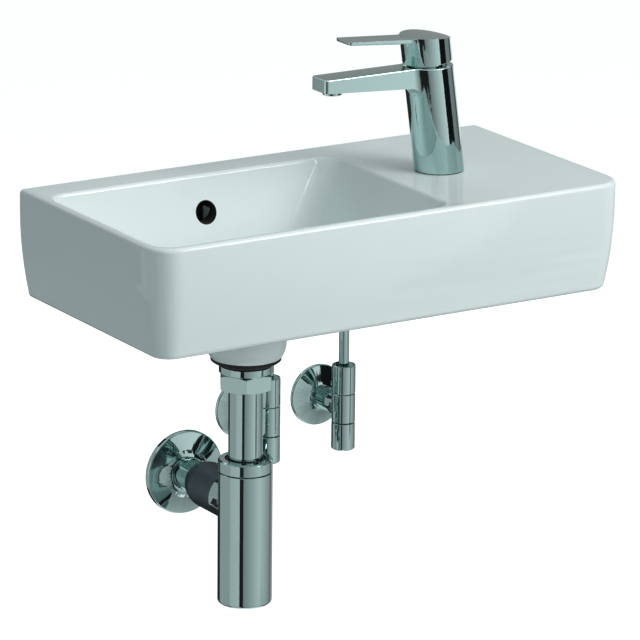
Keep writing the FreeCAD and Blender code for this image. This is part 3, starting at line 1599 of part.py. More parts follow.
def report_tube(side):
    """Print a supply tube's bends and compare its volume with section times length."""
    route = doc.getObject(side + "_tube_route").Shape
    bends = [round(edge.Curve.Radius, 2) for edge in route.Edges if isinstance(edge.Curve, Part.Circle)]
    section = math.pi * (value("supply_tube") ** 2 - value("supply_tube - supply_tube_wall") ** 2)
    expected = section * route.Length
    volume = doc.getObject(side + "_supply_tube").Shape.Volume
    print("%s tube: bends %s mm, length %.1f mm, volume %.0f mm3, section times length %.0f mm3"
          % (side, bends, route.Length, volume, expected))


make_basin()
make_fixings()
make_waste()
make_trap()
for valve_side in ("left", "right"):
    make_valve(valve_side)
make_supply_tube("left", "tap_x - inlet_spread")
make_supply_tube("right", "tap_x + inlet_spread")
make_tap()
doc.recompute()
check_all()
os.makedirs("parts", exist_ok=True)
for piece in NODES:
    piece.Shape.exportStep("parts/%s.step" % piece.Label)
for valve_side in ("left", "right"):
    report_tube(valve_side)
print("%d pieces written" % len(NODES))
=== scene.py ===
"""Looks of the wall hung basin: glaze, chrome, rubber and plastic on its pieces, and the studio round it."""

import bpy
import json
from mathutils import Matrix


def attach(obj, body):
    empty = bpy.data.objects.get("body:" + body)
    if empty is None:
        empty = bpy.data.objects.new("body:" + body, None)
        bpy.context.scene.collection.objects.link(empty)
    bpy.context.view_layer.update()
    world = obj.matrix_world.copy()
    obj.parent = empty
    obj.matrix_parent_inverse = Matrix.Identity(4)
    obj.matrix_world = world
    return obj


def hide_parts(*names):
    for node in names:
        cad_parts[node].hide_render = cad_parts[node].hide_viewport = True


bl_info = {
    "name": "Wall hung basin",
    "version": (1, 0, 0),
    "blender": (4, 5, 0),
    "location": "View3D > Sidebar > Basin",
    "description": "Dresses a wall hung basin with its tap, waste, trap and valves",
    "category": "Object",
}

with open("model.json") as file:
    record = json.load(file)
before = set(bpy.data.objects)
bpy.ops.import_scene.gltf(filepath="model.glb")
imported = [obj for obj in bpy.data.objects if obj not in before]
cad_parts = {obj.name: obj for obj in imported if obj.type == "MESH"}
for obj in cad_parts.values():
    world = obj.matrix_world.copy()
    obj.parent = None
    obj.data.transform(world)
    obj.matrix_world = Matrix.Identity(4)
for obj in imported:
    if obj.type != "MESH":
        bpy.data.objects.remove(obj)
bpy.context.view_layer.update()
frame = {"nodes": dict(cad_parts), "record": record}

import json
import math
from collections import namedtuple

import bmesh
import bpy
from bpy.props import FloatProperty, FloatVectorProperty, PointerProperty, StringProperty
from mathutils import Matrix, Vector

NODE_BODY = {node: body for body, nodes in frame["record"]["behaviour"]["bodies"].items() for node in nodes}
NODE_SLOT = {part["node"]: part["material_slot"] for part in frame["record"]["subparts"]}

MM = 0.001
MERGE = 0.002 * MM  # vertices of the loose CAD triangles that are nearer than this are one
FLAT = math.radians(0.4)  # neighbouring triangles turned by less than this are one face
SHARP = math.radians(34)  # edges turned by more than this stay sharp and get a small radius


# Sizes and colours that a user would change


class GlazeSettings(bpy.types.PropertyGroup):
    """The ceramic's white glaze."""

    colour: StringProperty(name="Colour", description="Glaze colour as sRGB hex", default="#EAF1F0")
    shade: StringProperty(name="Shade", description="Colour where the glaze lies thin", default="#E4EDEC")
    roughness: FloatProperty(name="Roughness", description="Fired gloss", default=0.07, min=0.0, max=1.0)
    wave: FloatProperty(name="Wave", description="Spacing of the cast clay's slow waves",
                        default=60 * MM, unit="LENGTH")
    edge: FloatProperty(name="Edge", description="Radius of the glazed edges", default=0.8 * MM,
                        unit="LENGTH")


class ChromeSettings(bpy.types.PropertyGroup):
    """The polished chrome plate on the brass fittings."""

    colour: StringProperty(name="Colour", description="Chrome colour as sRGB hex", default="#ADC9C7")
    roughness: FloatProperty(name="Roughness", description="Polish of the plate", default=0.045,
                             min=0.0, max=1.0)


class StudioSettings(bpy.types.PropertyGroup):
    """The camera, the lamps, the floor and the reflection cards."""

    camera_place: FloatVectorProperty(name="Camera place", description="Where the camera stands",
                                      default=(-2.2811, -3.7752, 1.1855), subtype="XYZ", unit="LENGTH")
    azimuth: FloatProperty(name="Azimuth", description="Camera's turn round the upright, in degrees",
                           default=-31.951)
    elevation: FloatProperty(name="Elevation", description="Camera's height angle, in degrees",
                             default=16.181)
    roll: FloatProperty(name="Roll", description="Camera's roll, in degrees", default=0.580)
    lens: FloatProperty(name="Lens", description="Focal length on a 36 mm sensor", default=273.31,
                        subtype="DISTANCE_CAMERA")
    floor_level: FloatProperty(name="Floor", description="Height of the floor", default=-0.785,
                               unit="LENGTH")
    floor_colour: StringProperty(name="Floor colour", description="Floor paint as sRGB hex",
                                 default="#CCD2D2")
    floor_glow: FloatProperty(name="Floor glow", description="White that the floor adds where it is seen",
                              default=0.8, min=0.0)
    card_reach: FloatProperty(name="Card reach", description="From the object to the reflection cards",
                              default=1.15, unit="LENGTH")
    card_foot: FloatProperty(name="Card foot", description="Cards that start below this stand on the floor",
                             default=-0.7, unit="LENGTH")
    foot_reach: FloatProperty(name="Foot reach", description="How near the cards' feet come", default=0.3,
                              unit="LENGTH")
    foot_shade: FloatProperty(name="Foot shade", description="Tone of a card's foot against the card's",
                              default=0.45, min=0.0, max=1.0)
    room_colour: StringProperty(name="Room colour", description="Soft light's colour as sRGB hex",
                                default="#DCEFF3")
    room_light: FloatProperty(name="Room light", description="Soft light from all round", default=0.36,
                              min=0.0)
    key_power: FloatProperty(name="Key lamp", description="Lamp in front on the right", default=28.0,
                             unit="POWER")
    fill_power: FloatProperty(name="Fill lamp", description="Lamp in front of the bowl", default=20.0,
                              unit="POWER")
    top_power: FloatProperty(name="Top lamp", description="Lamp above", default=11.0, unit="POWER")
    back_power: FloatProperty(name="Back lamp", description="Lamp behind, that no gloss shows",
                              default=16.0, unit="POWER")


class BasinSettings(bpy.types.PropertyGroup):
    """All settings of the basin."""

    glaze: PointerProperty(type=GlazeSettings)
    chrome: PointerProperty(type=ChromeSettings)
    studio: PointerProperty(type=StudioSettings)


# Materials


MIX_A, MIX_B, MIX_RESULT = 6, 7, 2  # a Mix node's sockets for colours
DRIFT_RANGE = (0.3, 0.7)  # nearly all values of a noise lie in this range
BUMP_DEPTH = 0.1  # height of a bump, as a share of its size


def linear(code):
    """A colour written as sRGB hex, in linear light."""
    values = [int(code[i:i + 2], 16) / 255 for i in (1, 3, 5)]
    return [v / 12.92 if v <= 0.04045 else ((v + 0.055) / 1.055) ** 2.4 for v in values] + [1.0]


def add(tree, kind, sets=None, links=None):
    """Add a node with its settings and the sockets that feed it."""
    node = tree.nodes.new(kind)
    for name, setting in (sets or {}).items():
        if isinstance(name, int) or name in node.inputs:
            node.inputs[name].default_value = setting
        else:
            setattr(node, name, setting)
    for name, source in (links or {}).items():
        tree.links.new(source, node.inputs[name])
    return node


def blank_material(name):
    """A new material with nothing in its tree."""
    material = bpy.data.materials.new(name)
    material.use_nodes = True
    material.node_tree.nodes.clear()
    return material


def surface(name, colour, other, patch, roughness, spread, metallic=0.0, ior=None, bump=0.0, bump_size=1.0):
    """A material whose colour and gloss drift over patches, with a fine or slow bump; sizes in mm."""
    found = bpy.data.materials.get(name)
    if found:
        return found
    material = blank_material(name)
    tree = material.node_tree
    place = add(tree, "ShaderNodeTexCoord")
    drift = add(tree, "ShaderNodeTexNoise", {"Scale": 1000 / patch, "Detail": 3.0, "Roughness": 0.5},
                {"Vector": place.outputs["Object"]})
    tint = add(tree, "ShaderNodeMix", {"data_type": "RGBA", MIX_A: linear(colour), MIX_B: linear(other)},
               {"Factor": drift.outputs["Fac"]})
    gloss = add(tree, "ShaderNodeMapRange", {
        "From Min": DRIFT_RANGE[0], "From Max": DRIFT_RANGE[1],
        "To Min": max(roughness - spread, 0.0), "To Max": roughness + spread,
    }, {"Value": drift.outputs["Fac"]})
    grain = add(tree, "ShaderNodeTexNoise", {"Scale": 1000 / bump_size, "Detail": 2.0},
                {"Vector": place.outputs["Object"]})
    relief = add(tree, "ShaderNodeBump", {"Strength": bump, "Distance": bump_size * MM * BUMP_DEPTH},
                 {"Height": grain.outputs["Fac"]})
    shader = add(tree, "ShaderNodeBsdfPrincipled", {"Metallic": metallic}, {
        "Base Color": tint.outputs[MIX_RESULT],
        "Roughness": gloss.outputs["Result"],
        "Normal": relief.outputs["Normal"],
    })
    if ior:
        shader.inputs["IOR"].default_value = ior
    add(tree, "ShaderNodeOutputMaterial", links={"Surface": shader.outputs["BSDF"]})
    return material


def glazed_ceramic():
    """Vitreous china, slip cast and glazed white: hard gloss over slow waves in the cast clay."""
    glaze = bpy.context.scene.basin.glaze
    return surface("Glazed_ceramic", glaze.colour, glaze.shade, 180, glaze.roughness, 0.02,
                   ior=1.52, bump=0.05, bump_size=glaze.wave / MM)


def polished_chrome():
    """Brass, polished and chrome plated: a cool mirror with hardly any haze."""
    chrome = bpy.context.scene.basin.chrome
    return surface("Polished_chrome", chrome.colour, chrome.colour, 25, chrome.roughness, 0.012,
                   metallic=1.0, bump=0.03, bump_size=9)


def satin_slate():
    """Black chrome over brushed brass, on the trap's outlet sleeve: dark slate with a soft sheen."""
    return surface("Satin_black_chrome", "#4F5E64", "#455359", 20, 0.42, 0.05,
                   metallic=1.0, bump=0.05, bump_size=0.5)


def painted_shade_overflow():
    """Painted shade inside the overflow: a near-black, dull surface that stands in for the shadow in the
    hole and the channel behind it.
    """
    return surface("Stained_raw_clay", "#141414", "#1B1B1A", 6, 0.85, 0.05,
                   ior=1.5, bump=0.2, bump_size=0.8)


def black_rubber():
    """Moulded EPDM rubber: black and dull, with a fine grain."""
    return surface("Black_rubber", "#070808", "#0B0C0D", 8, 0.7, 0.08,
                   ior=1.5, bump=0.25, bump_size=0.5)


def white_plastic():
    """Moulded polypropylene: waxy off-white, with the fine grain of a spark-eroded mould."""
    return surface("White_polypropylene", "#E7E7E1", "#DFDFD8", 12, 0.42, 0.06,
                   ior=1.49, bump=0.2, bump_size=0.6)


def cartridge_plastic():
    """Moulded glass-filled nylon: dark grey and slightly streaky."""
    return surface("Filled_nylon", "#474B4F", "#3C4043", 6, 0.48, 0.08,
                   ior=1.53, bump=0.25, bump_size=0.5)


def machined_brass():
    """Turned brass: a warm metal with fine tool marks."""
    return surface("Turned_brass", "#C6A25C", "#B8924C", 5, 0.28, 0.06,
                   metallic=1.0, bump=0.15, bump_size=0.4)


def zinc_steel():
    """Zinc plated steel: pale bluish grey, slightly cloudy."""
    return surface("Zinc_plated_steel", "#B9BEC2", "#A4AAAF", 4, 0.34, 0.08,
                   metallic=1.0, bump=0.12, bump_size=0.5)


def grey_plastic():
    """Moulded ABS: a small glossy grey cover."""
    return surface("Grey_ABS", "#8B9394", "#858D8E", 5, 0.25, 0.03,
                   ior=1.53, bump=0.05, bump_size=0.6)


FINISH = {
    "white_ceramic": glazed_ceramic,
    "chrome_tap": polished_chrome,
    "chrome_waste": polished_chrome,
    "chrome_trap": polished_chrome,
    "chrome_valve": polished_chrome,
    "chrome_tube": polished_chrome,
    "black_rubber": black_rubber,
    "white_plastic": white_plastic,
    "cartridge_plastic": cartridge_plastic,
    "bare_brass": machined_brass,
    "bolt_steel": zinc_steel,
    "plug_grey": grey_plastic,
}


# Threads


# A thread on a bar: where it starts along the bar, its length, outer radius and pitch, the radius of its
# round ridge, the radius of the core under it, and the stretch of the bar that is drawn in to that core
Thread = namedtuple("Thread", "start length radius pitch ridge core skin")
COIL_STEPS = 24  # points of the ridge in one turn
RIDGE_SIDES = 6
SKIN_SLACK = 0.1 * MM  # a vertex this near the thread's outer radius lies on the bar's skin


def thread_tree():
    """Node group of a thread's ridge: a coil round Z, from the origin upward."""
    found = bpy.data.node_groups.get("Thread")
    if found:
        return found
    tree = bpy.data.node_groups.new("Thread", "GeometryNodeTree")
    for label in ("Radius", "Turns", "Length", "Ridge"):
        tree.interface.new_socket(label, in_out="INPUT", socket_type="NodeSocketFloat")
    tree.interface.new_socket("Material", in_out="INPUT", socket_type="NodeSocketMaterial")
    tree.interface.new_socket("Geometry", in_out="OUTPUT", socket_type="NodeSocketGeometry")
    given = add(tree, "NodeGroupInput").outputs
    coil = add(tree, "GeometryNodeCurveSpiral", {"Resolution": COIL_STEPS}, {
        "Rotations": given["Turns"],
        "Start Radius": given["Radius"],
        "End Radius": given["Radius"],
        "Height": given["Length"],
    })
    outline = add(tree, "GeometryNodeCurvePrimitiveCircle", {"Resolution": RIDGE_SIDES},
                  {"Radius": given["Ridge"]})
    ridge = add(tree, "GeometryNodeCurveToMesh", {"Fill Caps": True},
                {"Curve": coil.outputs["Curve"], "Profile Curve": outline.outputs["Curve"]})
    real = add(tree, "GeometryNodeRealizeInstances", links={"Geometry": ridge.outputs["Mesh"]})
    painted = add(tree, "GeometryNodeSetMaterial",
                  links={"Geometry": real.outputs["Geometry"], "Material": given["Material"]})
    add(tree, "NodeGroupOutput", links={"Geometry": painted.outputs["Geometry"]})
    return tree


def bake(piece):
    """Put a piece's modifiers into its mesh."""
    graph = bpy.context.evaluated_depsgraph_get()
    mesh = bpy.data.meshes.new_from_object(piece.evaluated_get(graph), preserve_all_data_layers=True,
                                           depsgraph=graph)
    piece.modifiers.clear()
    piece.data = mesh
    return mesh


def ridge_mesh(thread, material, place):
    """The mesh of a thread's ridge, whose crest has the thread's outer radius, moved to its place."""
    piece = link(bpy.data.objects.new("thread", bpy.data.meshes.new("thread")))
    modifier = piece.modifiers.new("Thread", "NODES")
    modifier.node_group = thread_tree()
    inputs = {
        "Radius": thread.radius - thread.ridge,
        "Turns": thread.length / thread.pitch,
        "Length": thread.length,
        "Ridge": thread.ridge,
        "Material": material,
    }
    for item in modifier.node_group.interface.items_tree:
        if item.in_out == "INPUT":
            modifier[item.identifier] = inputs[item.name]
    bpy.context.view_layer.update()
    mesh = bake(piece)
    bpy.data.objects.remove(piece)
    mesh.transform(place)
    return mesh


def turn_down(mesh, thread, foot, axis):
    """Draw a bar's skin in to the thread's core, so that the ridge's crest lies on the old skin."""
    for vertex in mesh.vertices:
        off = vertex.co - foot
        along = off[axis]
        off[axis] = 0.0
        if thread.skin[0] < along < thread.skin[1] and abs(off.length - thread.radius) < SKIN_SLACK:
            vertex.co -= off * (1 - thread.core / off.length)


def add_ridges(piece, threads, feet, axis):
    """Join thread ridges to a finished piece, so that it stays one mesh; the axis is 1 for Y or 2 for Z."""
    from_z = Matrix.Rotation(-math.pi / 2, 4, "X") if axis == 1 else Matrix()
    bpy.context.view_layer.update()
    built = bmesh.new()
    built.from_mesh(bake(piece))
    for foot in feet:
        for thread in threads:
            start = foot.copy()
            start[axis] += thread.start
            before = len(built.faces)
            built.from_mesh(ridge_mesh(thread, piece.data.materials[0], Matrix.Translation(start) @ from_z))
            built.faces.ensure_lookup_table()
            for face in built.faces[before:]:
                face.smooth = True
                for line in face.edges:
                    line.smooth = line.calc_face_angle(0.0) < SHARP
    built.to_mesh(piece.data)
    built.free()


# Pieces


def link(piece):
    """Put an object in the scene."""
    bpy.context.scene.collection.objects.link(piece)
    return piece


def hold(piece, *nodes):
    """Ride a finished piece on its body, in place of the nodes that it stands for."""
    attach(piece, NODE_BODY[nodes[0]])
    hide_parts(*nodes)
    return piece


def merged_copy(node):
    """A node's mesh with its loose triangles merged, smooth over its rounds and sharp at its edges."""
    mesh = frame["nodes"][node].data.copy()
    mesh.name = node + "_finished"
    built = bmesh.new()
    built.from_mesh(mesh)
    bmesh.ops.remove_doubles(built, verts=built.verts, dist=MERGE)
    bmesh.ops.dissolve_limit(built, angle_limit=FLAT, use_dissolve_boundaries=False,
                             verts=built.verts, edges=built.edges)
    for face in built.faces:
        face.smooth = True
    for line in built.edges:
        if len(line.link_faces) == 2:
            line.smooth = line.calc_face_angle(0.0) < SHARP
    built.to_mesh(mesh)
    built.free()
    return mesh


def round_edges(piece, radius):
    """Give a piece's sharp edges a small radius."""
    bevel = piece.modifiers.new("Edge", "BEVEL")
    bevel.width = radius
    bevel.segments = 2
    bevel.limit_method = "ANGLE"
    bevel.angle_limit = SHARP
    bevel.harden_normals = True
    bevel.miter_outer = "MITER_ARC"


def finish_piece(node, edge, finish=None, second=None, inside=None, threads=(), feet=(), axis=2):
    """Finish a node: its material, the radius of its sharp edges, and its threads.

    Faces that the inside test picks get the second material. Each thread is cut at each foot, along the
    given axis.
    """
    mesh = merged_copy(node)
    for foot in feet:
        for thread in threads:
            turn_down(mesh, thread, foot, axis)
    mesh.materials.clear()
    mesh.materials.append((finish or FINISH[NODE_SLOT[node]])())
    if second:
        mesh.materials.append(second())
    for polygon in mesh.polygons:
        polygon.material_index = int(bool(second) and inside(polygon))
    piece = link(bpy.data.objects.new(node + "_finished", mesh))
    round_edges(piece, edge)
    if threads:
        add_ridges(piece, threads, feet, axis)
    return hold(piece, node)


def finish_pieces(edge, *nodes):
    """Finish nodes that share an edge radius."""
    for node in nodes:
        finish_piece(node, edge)


# The overflow's hole, and the channel behind it in X, Y and Z, both from the middle of the hole's mouth
OVERFLOW = Vector((-78, -30, 30.5)) * MM
HOLE_RADIUS = 11.05 * MM
HOLE_SPAN = (-30 * MM, 20 * MM)
HOLE_TILT = 0.5  # the Y part of a normal on the hole's wall is less than this
CHANNEL = ((-16 * MM, 16 * MM), (-6 * MM, 20 * MM), (-100 * MM, 16 * MM))


def in_overflow(polygon):
    """Whether a face of the basin lies in the overflow's hole or the channel behind it, where the shade is
    painted.
    """
    off = polygon.center - OVERFLOW
    in_hole = (math.hypot(off.x, off.z) < HOLE_RADIUS and HOLE_SPAN[0] < off.y < HOLE_SPAN[1]
               and abs(polygon.normal.y) < HOLE_TILT)
    in_channel = all(low < off[k] < high for k, (low, high) in enumerate(CHANNEL))
    return in_hole or in_channel


class BASIN_OT_ceramic(bpy.types.Operator):
    """Glaze the ceramic basin"""

    bl_idname = "basin.ceramic"
    bl_label = "Ceramic basin"

    def execute(self, context):
        # The faces in the overflow's hole and channel get near-black painted shade as their second material.
        finish_piece("basin", context.scene.basin.glaze.edge, second=painted_shade_overflow, inside=in_overflow)
        return {"FINISHED"}


# Where the wall bolts' axes cross the wall plane
BOLT_FEET = (Vector((-140 * MM, 0, 0)), Vector((140 * MM, 0, 0)))
# The bolts' metric end, and their coarse end in the wall
BOLT_THREADS = (
    Thread(start=-28 * MM, length=23.5 * MM, radius=4.93 * MM, pitch=1.5 * MM, ridge=0.42 * MM,
           core=4.3 * MM, skin=(-29 * MM, -3 * MM)),
    Thread(start=1 * MM, length=48 * MM, radius=4.7 * MM, pitch=3 * MM, ridge=0.5 * MM,
           core=4.0 * MM, skin=(-1 * MM, 51 * MM)),
)


class BASIN_OT_wall_fixings(bpy.types.Operator):
    """Finish the two wall bolts with their bushes, washers and nuts"""

    bl_idname = "basin.wall_fixings"
    bl_label = "Wall fixings"

    def execute(self, context):
        finish_piece("wall_bolts", 0.25 * MM, threads=BOLT_THREADS, feet=BOLT_FEET, axis=1)
        finish_pieces(0.25 * MM, "bolt_bushes", "bolt_washers", "bolt_nuts")
        return {"FINISHED"}


class BASIN_OT_waste(bpy.types.Operator):
    """Finish the waste, its seals and its push plug"""

    bl_idname = "basin.waste"
    bl_label = "Waste and plug"

    def execute(self, context):
        finish_pieces(0.3 * MM, "waste_body", "waste_upper_seal", "waste_lower_seal", "waste_back_nut",
                      "waste_plug", "plug_seal", "plug_guide")
        return {"FINISHED"}


class BASIN_OT_trap(bpy.types.Operator):
    """Finish the bottle trap"""

    bl_idname = "basin.trap"
    bl_label = "Bottle trap"

    def execute(self, context):
        finish_piece("trap_union_nut", 0.6 * MM)
        finish_pieces(0.25 * MM, "trap_union_washer", "trap_tailpipe", "trap_cap_seal", "trap_cap",
                      "trap_groove_seal", "trap_dip_tube", "trap_cup")
        return {"FINISHED"}


class BASIN_OT_outlet(bpy.types.Operator):
    """Finish the trap's outlet sleeve, wall pipe and cover plate"""

    bl_idname = "basin.outlet"
    bl_label = "Outlet"

    def execute(self, context):
        finish_piece("outlet_nut", 0.3 * MM, finish=satin_slate)
        finish_pieces(0.3 * MM, "outlet_seal", "waste_wall_pipe", "waste_rosette")
        return {"FINISHED"}


class BASIN_OT_valves(bpy.types.Operator):
    """Finish both angle valves"""

    bl_idname = "basin.valves"
    bl_label = "Angle valves"

    def execute(self, context):
        for side in ("left", "right"):
            for part in ("body", "nut", "gasket", "ferrule", "knob", "spindle", "rosette"):
                finish_piece("%s_valve_%s" % (side, part), 0.2 * MM)
        return {"FINISHED"}


class BASIN_OT_tubes(bpy.types.Operator):
    """Finish the two supply tubes"""

    bl_idname = "basin.tubes"
    bl_label = "Supply tubes"

    def execute(self, context):
        finish_pieces(0.15 * MM, "left_supply_tube", "right_supply_tube")
        return {"FINISHED"}


class BASIN_OT_tap(bpy.types.Operator):
    """Finish the tap's body and spout, its aerator and its foot seal"""

    bl_idname = "basin.tap"
    bl_label = "Tap body"

    def execute(self, context):
        finish_piece("tap_body", 0.9 * MM)
        finish_pieces(0.35 * MM, "aerator_ring", "aerator_insert", "tap_seal")
        return {"FINISHED"}


class BASIN_OT_lever(bpy.types.Operator):
    """Finish the lever and the cartridge that it moves"""

    bl_idname = "basin.lever"
    bl_label = "Lever and cartridge"

    def execute(self, context):
        finish_piece("tap_lever", 0.8 * MM)
        finish_pieces(0.2 * MM, "cartridge", "cartridge_nut", "cartridge_turner", "cartridge_stem",
                      "stem_pin", "lever_screw", "lever_plug")
        return {"FINISHED"}


STUD_FOOT = Vector((122.5, -136.6, -12)) * MM
STUD_THREAD = Thread(start=0, length=117 * MM, radius=4 * MM, pitch=1.25 * MM, ridge=0.36 * MM,
                     core=3.45 * MM, skin=(-2 * MM, 121 * MM))


class BASIN_OT_tap_mount(bpy.types.Operator):
    """Finish the stud, horseshoe clamp and nut under the deck"""

    bl_idname = "basin.tap_mount"
    bl_label = "Tap mounting"

    def execute(self, context):
        finish_piece("tap_stud", 0.25 * MM, threads=(STUD_THREAD,), feet=(STUD_FOOT,))
        finish_pieces(0.25 * MM, "clamp_gasket", "clamp_plate", "stud_nut")
        return {"FINISHED"}


# Studio


# Reflection cards round the object, as degrees from the camera's side, heights in metres and the tone
# at the bottom and the top of their left and right sides; 1 is white
CARDS = (
    ("left_edge_card", (-182, -124), (-0.78, 0.16), (0.03, 0.03), (0.03, 0.03)),
    ("left_edge_top_card", (-142, -124), (0.16, 0.6), (0.03, 0.03), (0.03, 0.03)),
    ("left_low_card", (-124, -64), (-0.78, -0.38), (0.46, 0.46), (0.49, 0.49)),
    ("left_grey_card", (-124, -100), (-0.38, 0.07), (0.40, 0.40), (0.46, 0.46)),
    ("left_bright_card", (-100, -50), (-0.38, 0.07), (0.95, 0.95), (0.95, 0.95)),
    ("left_high_card", (-124, -50), (0.07, 0.6), (0.44, 0.44), (0.46, 0.46)),
    ("front_low_card", (-64, -24), (-0.78, -0.38), (0.62, 0.62), (0.70, 0.70)),
    ("front_high_card", (-50, -27), (-0.38, 0.6), (0.50, 0.44), (0.46, 0.44)),
    ("dark_low_card", (-24, -9), (-0.78, -0.38), (0.02, 0.02), (0.02, 0.02)),
    ("dark_high_card", (-27, 3), (-0.38, 0.6), (0.02, 0.02), (0.02, 0.02)),
    ("right_low_card", (-9, 60), (-0.78, -0.38), (0.31, 0.31), (0.78, 0.78)),
    ("right_high_card", (3, 69), (-0.38, 0.15), (0.25, 0.25), (1.0, 1.0)),
    ("right_top_card", (3, 50), (0.15, 0.6), (0.25, 0.25), (0.7, 0.7)),
    ("side_low_card", (60, 125), (-0.78, -0.57), (0.80, 0.80), (0.36, 0.36)),
    ("side_left_card", (60, 67), (-0.57, -0.38), (0.80, 0.80), (0.75, 0.75)),
    ("side_shade_card", (67, 78), (-0.57, -0.38), (0.16, 0.16), (0.16, 0.16)),
    ("side_right_card", (78, 125), (-0.57, -0.38), (0.68, 0.68), (0.36, 0.36)),
    ("side_dark_card", (69, 99), (-0.38, 0.15), (0.01, 0.01), (0.01, 0.01)),
    ("upper_dark_card", (50, 99), (0.15, 0.6), (0.01, 0.01), (0.01, 0.01)),
    ("side_high_card", (99, 125), (-0.38, 0.6), (0.34, 0.34), (0.28, 0.28)),
    ("right_edge_card", (125, 141), (-0.78, 0.6), (0.24, 0.02), (0.24, 0.02)),
    ("back_low_card", (141, 178), (-0.78, -0.30), (0.42, 0.42), (0.42, 0.42)),
    ("back_high_card", (141, 218), (0.16, 1.4), (0.34, 0.34), (0.34, 0.34)),
)
CARD_CENTRE_Y = -0.12
CARD_COLUMNS, CARD_ROWS = 14, 6

# Name, place and size in metres, the setting with its power, and whether gloss shows it
LAMPS = (
    ("key_lamp", (1.5, -2.1, 1.75), 1.0, "key_power", True),
    ("fill_lamp", (1.0, -2.4, 1.0), 1.0, "fill_power", True),
    ("top_lamp", (0.5, -0.6, 2.2), 1.8, "top_power", True),
    ("back_lamp", (1.2, 2.4, 0.4), 1.6, "back_power", False),
)
LAMP_AIM = (0, -0.1, 0)

FLOOR_X, FLOOR_Y = (-6, 6), (-6, 9)
WHITE = (1, 1, 1, 1)
SENSOR_WIDTH = 36  # mm
CLIP_END = 50


def between(low, high, share):
    """A value at a share of the way from low to high."""
    return low + (high - low) * share


def card_paint():
    """The glow of a studio card, in the tone stored on its mesh."""
    found = bpy.data.materials.get("Studio_card")
    if found:
        return found
    material = blank_material("Studio_card")
    tree = material.node_tree
    tone = add(tree, "ShaderNodeAttribute", {"attribute_name": "tone"})
    glow = add(tree, "ShaderNodeEmission", links={"Color": tone.outputs["Color"]})
    add(tree, "ShaderNodeOutputMaterial", links={"Surface": glow.outputs["Emission"]})
    return material


def card(name, turns, heights, left_tones, right_tones):
    """A curved studio card that only reflections see; one that reaches the floor has a foot along it."""
    studio = bpy.context.scene.basin.studio
    levels = [(studio.card_reach, j / CARD_ROWS) for j in range(CARD_ROWS + 1)]
    if heights[0] < studio.card_foot:
        levels.insert(0, (studio.foot_reach, 0.0))
    places, tones, faces = [], [], []
    for i in range(CARD_COLUMNS + 1):
        across = i / CARD_COLUMNS
        turn = math.radians(studio.azimuth + turns[0] + (turns[1] - turns[0]) * across)
        for reach, up in levels:
            places.append((reach * math.sin(turn), CARD_CENTRE_Y - reach * math.cos(turn),
                           between(*heights, up)))
            shade = studio.foot_shade if reach < studio.card_reach else 1.0
            tones.append(between(between(*left_tones, up), between(*right_tones, up), across) * shade)
    for i in range(CARD_COLUMNS):
        for j in range(len(levels) - 1):
            a = i * len(levels) + j
            faces.append((a, a + len(levels), a + len(levels) + 1, a + 1))
    mesh = bpy.data.meshes.new(name)
    mesh.from_pydata(places, [], faces)
    attribute = mesh.attributes.new("tone", "FLOAT_COLOR", "POINT")
    for point, tone in zip(attribute.data, tones):
        point.color = (tone, tone, tone, 1)
    mesh.materials.append(card_paint())
    piece = link(bpy.data.objects.new(name, mesh))
    piece.visible_camera = False
    piece.visible_diffuse = False
    piece.visible_shadow = False
    piece.visible_transmission = False


def lamp(name, place, size, power, in_gloss):
    """A square lamp turned to the object."""
    light = bpy.data.lights.new(name, "AREA")
    light.energy = power
    light.size = size
    made = link(bpy.data.objects.new(name, light))
    direction = Vector(LAMP_AIM) - Vector(place)
    made.matrix_world = Matrix.Translation(place) @ direction.to_track_quat("-Z", "Y").to_matrix().to_4x4()
    made.visible_glossy = in_gloss


def set_camera(studio):
    """A camera at the photograph's angle, from its turn, height angle and roll."""
    a, e, roll = (math.radians(v) for v in (studio.azimuth, studio.elevation, studio.roll))
    back = Vector((math.sin(a) * math.cos(e), -math.cos(a) * math.cos(e), math.sin(e)))
    right = Vector((math.cos(a), math.sin(a), 0))
    up = back.cross(right)
    across = right * math.cos(roll) + up * math.sin(roll)
    upward = up * math.cos(roll) - right * math.sin(roll)
    turn = Matrix((across, upward, back)).transposed().to_4x4()
    data = bpy.data.cameras.new("Camera")
    data.lens = studio.lens
    data.sensor_width = SENSOR_WIDTH
    data.clip_end = CLIP_END
    made = link(bpy.data.objects.new("Camera", data))
    made.matrix_world = Matrix.Translation(studio.camera_place) @ turn
    bpy.context.scene.camera = made


def sees_backdrop(tree):
    """1 for the rays that see the white backdrop: the camera's, and those through gloss or glass."""
    rays = add(tree, "ShaderNodeLightPath").outputs
    straight = add(tree, "ShaderNodeMath", {"operation": "MAXIMUM"},
                   {0: rays["Is Camera Ray"], 1: rays["Is Glossy Ray"]})
    seen = add(tree, "ShaderNodeMath", {"operation": "MAXIMUM"},
               {0: straight.outputs["Value"], 1: rays["Is Transmission Ray"]})
    return seen.outputs["Value"]


def set_world(studio):
    """White behind the object, and soft grey light from all round."""
    world = bpy.data.worlds.new("Studio")
    bpy.context.scene.world = world
    world.use_nodes = True
    tree = world.node_tree
    tree.nodes.clear()
    room = add(tree, "ShaderNodeBackground",
               {"Color": linear(studio.room_colour), "Strength": studio.room_light})
    white = add(tree, "ShaderNodeBackground", {"Color": WHITE, "Strength": 1.0})
    both = add(tree, "ShaderNodeMixShader", links={
        "Fac": sees_backdrop(tree), 1: room.outputs["Background"], 2: white.outputs["Background"],
    })
    add(tree, "ShaderNodeOutputWorld", links={"Surface": both.outputs["Shader"]})


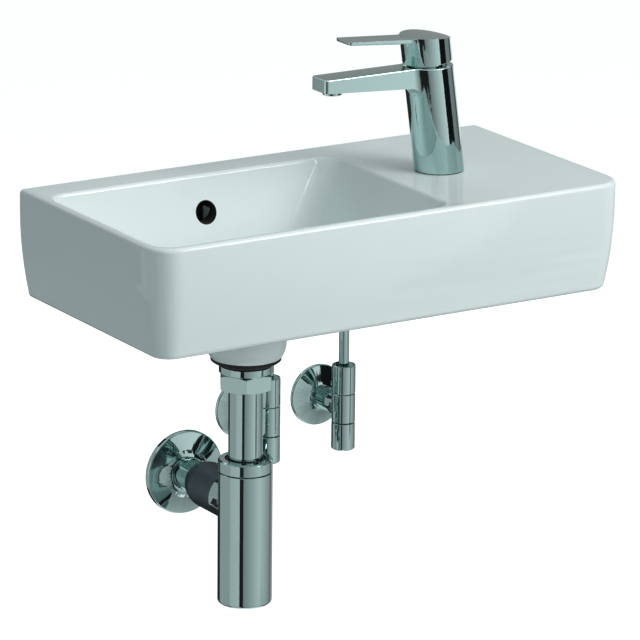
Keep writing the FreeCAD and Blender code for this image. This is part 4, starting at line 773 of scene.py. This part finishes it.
def set_floor(studio):
    """A pale floor that reads as white except in shadow."""
    mesh = bpy.data.meshes.new("floor")
    (left, right), (front, back), level = FLOOR_X, FLOOR_Y, studio.floor_level
    corners = [(left, front, level), (right, front, level), (right, back, level), (left, back, level)]
    mesh.from_pydata(corners, [], [(0, 1, 2, 3)])
    floor = link(bpy.data.objects.new("floor", mesh))
    material = blank_material("Pale_floor")
    tree = material.node_tree
    seen = add(tree, "ShaderNodeMath", {"operation": "MULTIPLY", 1: studio.floor_glow},
               {0: sees_backdrop(tree)})
    paint = add(tree, "ShaderNodeBsdfDiffuse", {"Color": linear(studio.floor_colour)})
    glow = add(tree, "ShaderNodeEmission", {"Color": WHITE}, {"Strength": seen.outputs["Value"]})
    total = add(tree, "ShaderNodeAddShader", links={0: paint.outputs["BSDF"], 1: glow.outputs["Emission"]})
    add(tree, "ShaderNodeOutputMaterial", links={"Surface": total.outputs["Shader"]})
    mesh.materials.append(material)


class BASIN_OT_studio(bpy.types.Operator):
    """Set the camera, the lamps, the floor and the cards that the chrome reflects"""

    bl_idname = "basin.studio"
    bl_label = "Studio"

    def execute(self, context):
        context.scene.view_settings.view_transform = "Standard"
        studio = context.scene.basin.studio
        set_camera(studio)
        set_world(studio)
        set_floor(studio)
        for name, place, size, power, in_gloss in LAMPS:
            lamp(name, place, size, getattr(studio, power), in_gloss)
        for setup in CARDS:
            card(*setup)
        return {"FINISHED"}


class BASIN_PT_panel(bpy.types.Panel):
    """The basin's operators and settings"""

    bl_label = "Wall hung basin"
    bl_idname = "BASIN_PT_panel"
    bl_space_type = "VIEW_3D"
    bl_region_type = "UI"
    bl_category = "Basin"

    def draw(self, context):
        for operator in PIECES + (BASIN_OT_studio,):
            self.layout.operator(operator.bl_idname)
        for group in ("glaze", "chrome", "studio"):
            box = self.layout.box()
            box.label(text=group.capitalize())
            settings = getattr(context.scene.basin, group)
            for name in settings.__annotations__:
                box.prop(settings, name)


PIECES = (
    BASIN_OT_ceramic,
    BASIN_OT_wall_fixings,
    BASIN_OT_waste,
    BASIN_OT_trap,
    BASIN_OT_outlet,
    BASIN_OT_valves,
    BASIN_OT_tubes,
    BASIN_OT_tap,
    BASIN_OT_lever,
    BASIN_OT_tap_mount,
)
CLASSES = (
    GlazeSettings, ChromeSettings, StudioSettings, BasinSettings, *PIECES, BASIN_OT_studio, BASIN_PT_panel,
)


def register():
    for item in CLASSES:
        bpy.utils.register_class(item)
    bpy.types.Scene.basin = PointerProperty(type=BasinSettings)


def unregister():
    del bpy.types.Scene.basin
    for item in reversed(CLASSES):
        bpy.utils.unregister_class(item)


def main():
    register()
    bpy.ops.basin.studio()
    for operator in PIECES:
        getattr(bpy.ops.basin, operator.bl_idname.split(".")[1])()


if __name__ == "__main__":
    main()
